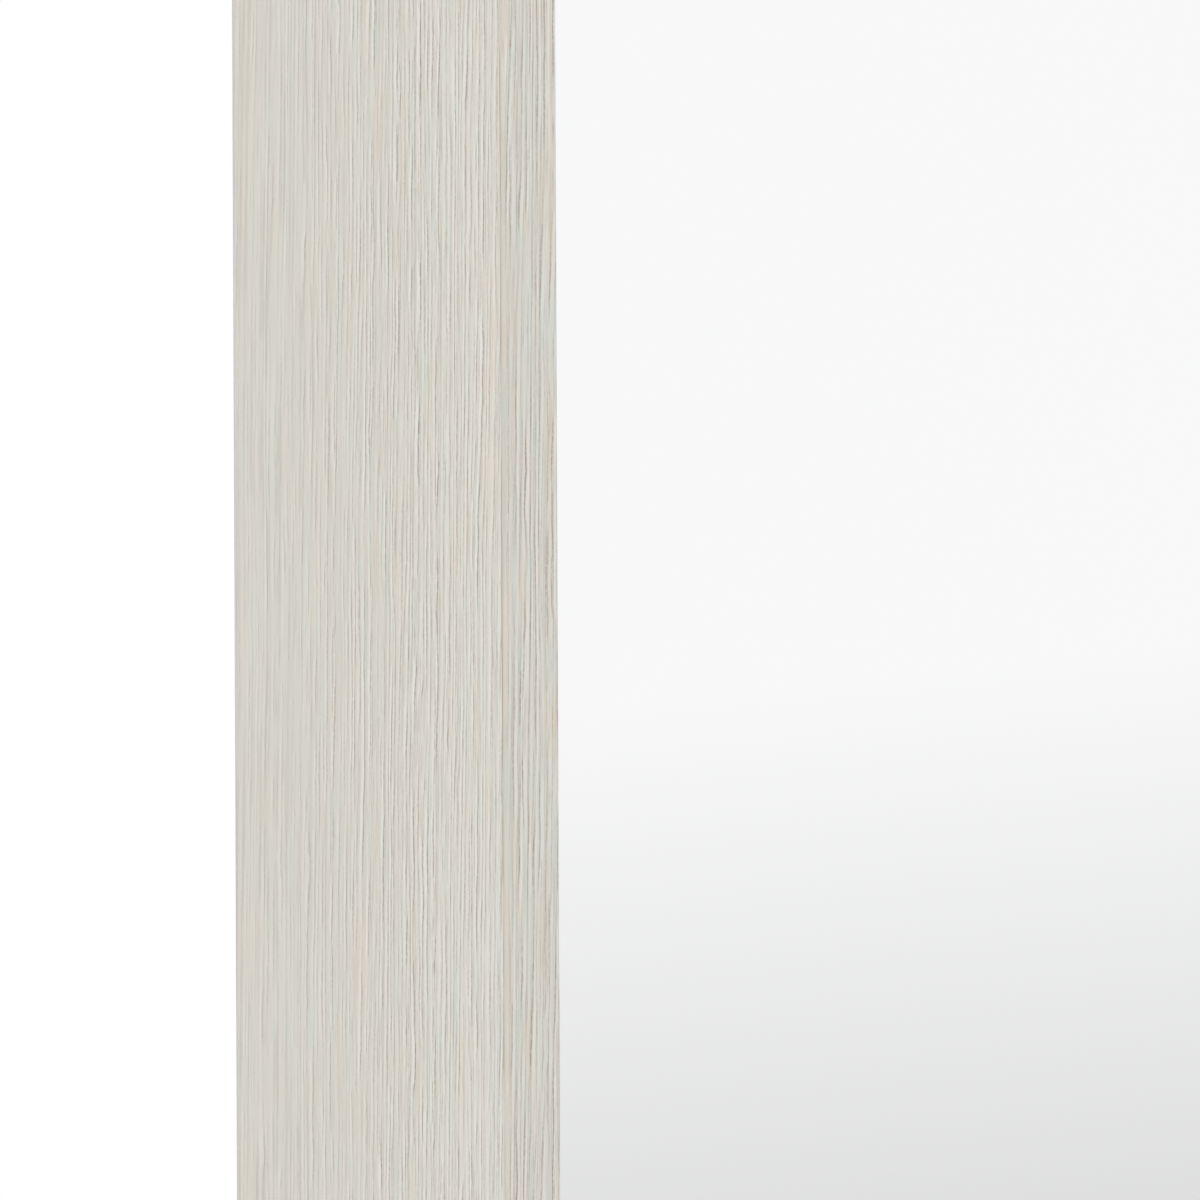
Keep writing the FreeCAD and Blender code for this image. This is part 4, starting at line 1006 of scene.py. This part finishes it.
class MIRROR_OT_rubber(bpy.types.Operator):
    """Mould the floor pads and the wall bumpers"""

    bl_idname = "floor_mirror.rubber"
    bl_label = "Pads and bumpers"

    def execute(self, context):
        sizes = context.scene.mirror_fittings
        skin = rubber("moulded_rubber", context.scene.mirror_back)
        for side in UPRIGHT_SIDES:
            self.bumper(side, sizes, skin)
            self.pad(side, sizes, skin)
        return {"FINISHED"}

    def bumper(self, side, sizes, skin):
        """Wall bumper: a slab stood on end, with its grooves towards the wall."""
        node = f"{side}_wall_bumper"
        low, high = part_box(node)
        middle = (low + high) / 2
        size = (high - low).zxy
        slab = ribbed_slab(size, sizes.bumper_corner, sizes.bumper_rim, sizes.bumper_pitch, sizes)
        stand = Matrix(((0, 1, 0), (0, 0, 1), (1, 0, 0))).to_4x4()
        foot = Matrix.Translation((middle.x, low.y, middle.z))
        bmesh.ops.transform(slab, matrix=foot @ stand, verts=slab.verts)
        new_piece(f"{side}_ribbed_bumper", slab, node, skin)

    def pad(self, side, sizes, skin):
        """Floor pad: a slab turned over, with its grooves towards the floor."""
        node = f"{side}_floor_pad"
        low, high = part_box(node)
        middle = (low + high) / 2
        slab = ribbed_slab(high - low, sizes.pad_corner, sizes.pad_rim, sizes.pad_pitch, sizes)
        turn_over = Matrix.Rotation(math.pi, 4, "X")
        foot = Matrix.Translation((middle.x, middle.y, high.z))
        bmesh.ops.transform(slab, matrix=foot @ turn_over, verts=slab.verts)
        new_piece(f"{side}_ribbed_pad", slab, node, skin)


# Stage

FLOOR_SEGMENTS = 96
LAMP_AIM = (0.0, 0.0, 0.95)

# Sweep that reflections see: its tilt across the picture, the span of its fall and its greys.
SWEEP_TILT = 0.095
SWEEP_SPAN = (-0.1423, 0.0077)
SWEEP_STOPS = ((0.0, (0.70, 0.70, 0.705, 1)), (0.51, (0.77, 0.77, 0.775, 1)), (0.88, WHITE))


def lamp(name, place, size, power):
    """Soft square lamp that is not itself seen in the mirror."""
    light = bpy.data.lights.new(name, "AREA")
    light.shape = "SQUARE"
    light.size = size
    light.energy = power
    item = bpy.data.objects.new(name, light)
    item.location = place
    item.rotation_euler = (Vector(LAMP_AIM) - Vector(place)).to_track_quat("-Z", "Y").to_euler()
    item.visible_camera = False
    item.visible_glossy = False
    bpy.context.scene.collection.objects.link(item)


class MIRROR_OT_stage(bpy.types.Operator):
    """Set the floor, the studio light and the camera"""

    bl_idname = "floor_mirror.stage"
    bl_label = "Stage"

    def execute(self, context):
        look = context.scene.mirror_stage
        self.floor(context, look)
        self.world(context, look)
        self.lamps()
        self.camera(context, look)
        context.scene.view_settings.view_transform = "Standard"
        return {"FINISHED"}

    def floor(self, context, look):
        """Pale round floor that fades into the white room."""
        mesh = bpy.data.meshes.new("floor")
        shape = bmesh.new()
        bmesh.ops.create_circle(shape, cap_ends=True, segments=FLOOR_SEGMENTS, radius=look.floor_radius)
        shape.to_mesh(mesh)
        shape.free()
        mesh.materials.append(floor_paint(look))
        item = bpy.data.objects.new("floor", mesh)
        context.scene.collection.objects.link(item)

    def world(self, context, look):
        """White room that reflections see too, with a sweep that falls off below the horizon."""
        world = bpy.data.worlds.new("studio")
        context.scene.world = world
        finish = Finish(world)
        path = finish.add("ShaderNodeLightPath").outputs
        seen = finish.math("MAXIMUM", path["Is Camera Ray"], path["Is Transmission Ray"])
        seen = finish.math("MAXIMUM", seen, path["Is Glossy Ray"])
        shown = finish.mix(path["Is Glossy Ray"], WHITE, self.sweep(finish, look))
        even = finish.nodes["Background"]
        even.inputs["Strength"].default_value = look.room_light
        even.inputs["Color"].default_value = WHITE
        white = finish.add("ShaderNodeBackground", Color=shown, Strength=1.0)
        finish.blend(seen, even, white, "World Output")

    def sweep(self, finish, look):
        """Grey of the sweep by the direction that a reflection looks in."""
        gaze = finish.add("ShaderNodeTexCoord").outputs["Generated"]
        tilt = SWEEP_TILT * Vector((-math.cos(look.view_azimuth), math.sin(look.view_azimuth)))
        fall = finish.vector("DOT_PRODUCT", gaze, (tilt.x, tilt.y, 1.0))
        greys = finish.add("ShaderNodeValToRGB", Fac=finish.ramp(fall, *SWEEP_SPAN, smooth=False))
        stops = greys.color_ramp.elements
        stops.new(SWEEP_STOPS[1][0])
        for stop, (position, colour) in zip(stops, SWEEP_STOPS):
            stop.position = position
            stop.color = colour
        return greys.outputs["Color"]

    def lamps(self):
        """Key from the left and the front, weaker fills from the right and behind."""
        lamp("key_lamp", place=(-3.9, -2.2, 2.6), size=2.4, power=104)
        lamp("fill_lamp", place=(3.4, -2.6, 2.4), size=2.6, power=56)
        lamp("back_lamp", place=(0.8, 3.8, 2.8), size=2.6, power=90)

    def camera(self, context, look):
        """Camera at the photograph's angle, aimed beside the left arris."""
        azimuth = look.view_azimuth
        back = Vector((math.sin(azimuth), -math.cos(azimuth), 0.0))
        right = Vector((math.cos(azimuth), math.sin(azimuth), 0.0))
        arris = Vector((CAD_LOW.x, CAD_LOW.y, look.view_height))
        aim = arris + right * look.view_offset
        data = bpy.data.cameras.new("photo_camera")
        data.lens = data.sensor_width * look.view_distance / look.view_field
        item = bpy.data.objects.new("photo_camera", data)
        item.location = aim + back * look.view_distance
        turn = (-back).to_track_quat("-Z", "Y").to_matrix()
        item.rotation_euler = (turn @ Matrix.Rotation(look.view_roll, 3, "Z")).to_euler()
        context.scene.collection.objects.link(item)
        context.scene.camera = item


# Sidebar and run

class MIRROR_PT_panel(bpy.types.Panel):
    """Sizes, colours and steps of the floor mirror"""

    bl_idname = "MIRROR_PT_panel"
    bl_label = "Floor Mirror"
    bl_space_type = "VIEW_3D"
    bl_region_type = "UI"
    bl_category = "Floor Mirror"

    def draw(self, context):
        for name in LOOKS:
            box = self.layout.box()
            look = getattr(context.scene, name)
            for row in look.bl_rna.properties:
                if row.identifier not in ("rna_type", "name"):
                    box.prop(look, row.identifier)
        for step in STEPS:
            self.layout.operator(step.bl_idname)


LOOKS = {
    "mirror_oak": OakLook,
    "mirror_glass": GlassLook,
    "mirror_back": BackLook,
    "mirror_fittings": FittingSizes,
    "mirror_stage": StageLook,
}
STEPS = (
    MIRROR_OT_frame,
    MIRROR_OT_edge_bands,
    MIRROR_OT_pane,
    MIRROR_OT_bedding,
    MIRROR_OT_backing,
    MIRROR_OT_battens,
    MIRROR_OT_brackets,
    MIRROR_OT_hangers,
    MIRROR_OT_screws,
    MIRROR_OT_rubber,
    MIRROR_OT_stage,
)


def register():
    """Add the classes and the settings they read."""
    for item in (*LOOKS.values(), *STEPS, MIRROR_PT_panel):
        bpy.utils.register_class(item)
    for name, look in LOOKS.items():
        setattr(bpy.types.Scene, name, bpy.props.PointerProperty(type=look))


def unregister():
    """Take the settings and the classes away again."""
    for name in LOOKS:
        delattr(bpy.types.Scene, name)
    for item in (MIRROR_PT_panel, *reversed(STEPS), *LOOKS.values()):
        bpy.utils.unregister_class(item)


def main():
    register()
    bpy.ops.floor_mirror.frame()
    bpy.ops.floor_mirror.edge_bands()
    bpy.ops.floor_mirror.pane()
    bpy.ops.floor_mirror.bedding()
    bpy.ops.floor_mirror.backing()
    bpy.ops.floor_mirror.battens()
    bpy.ops.floor_mirror.brackets()
    bpy.ops.floor_mirror.hangers()
    bpy.ops.floor_mirror.screws()
    bpy.ops.floor_mirror.rubber()
    bpy.ops.floor_mirror.stage()


if __name__ == "__main__":
    main()
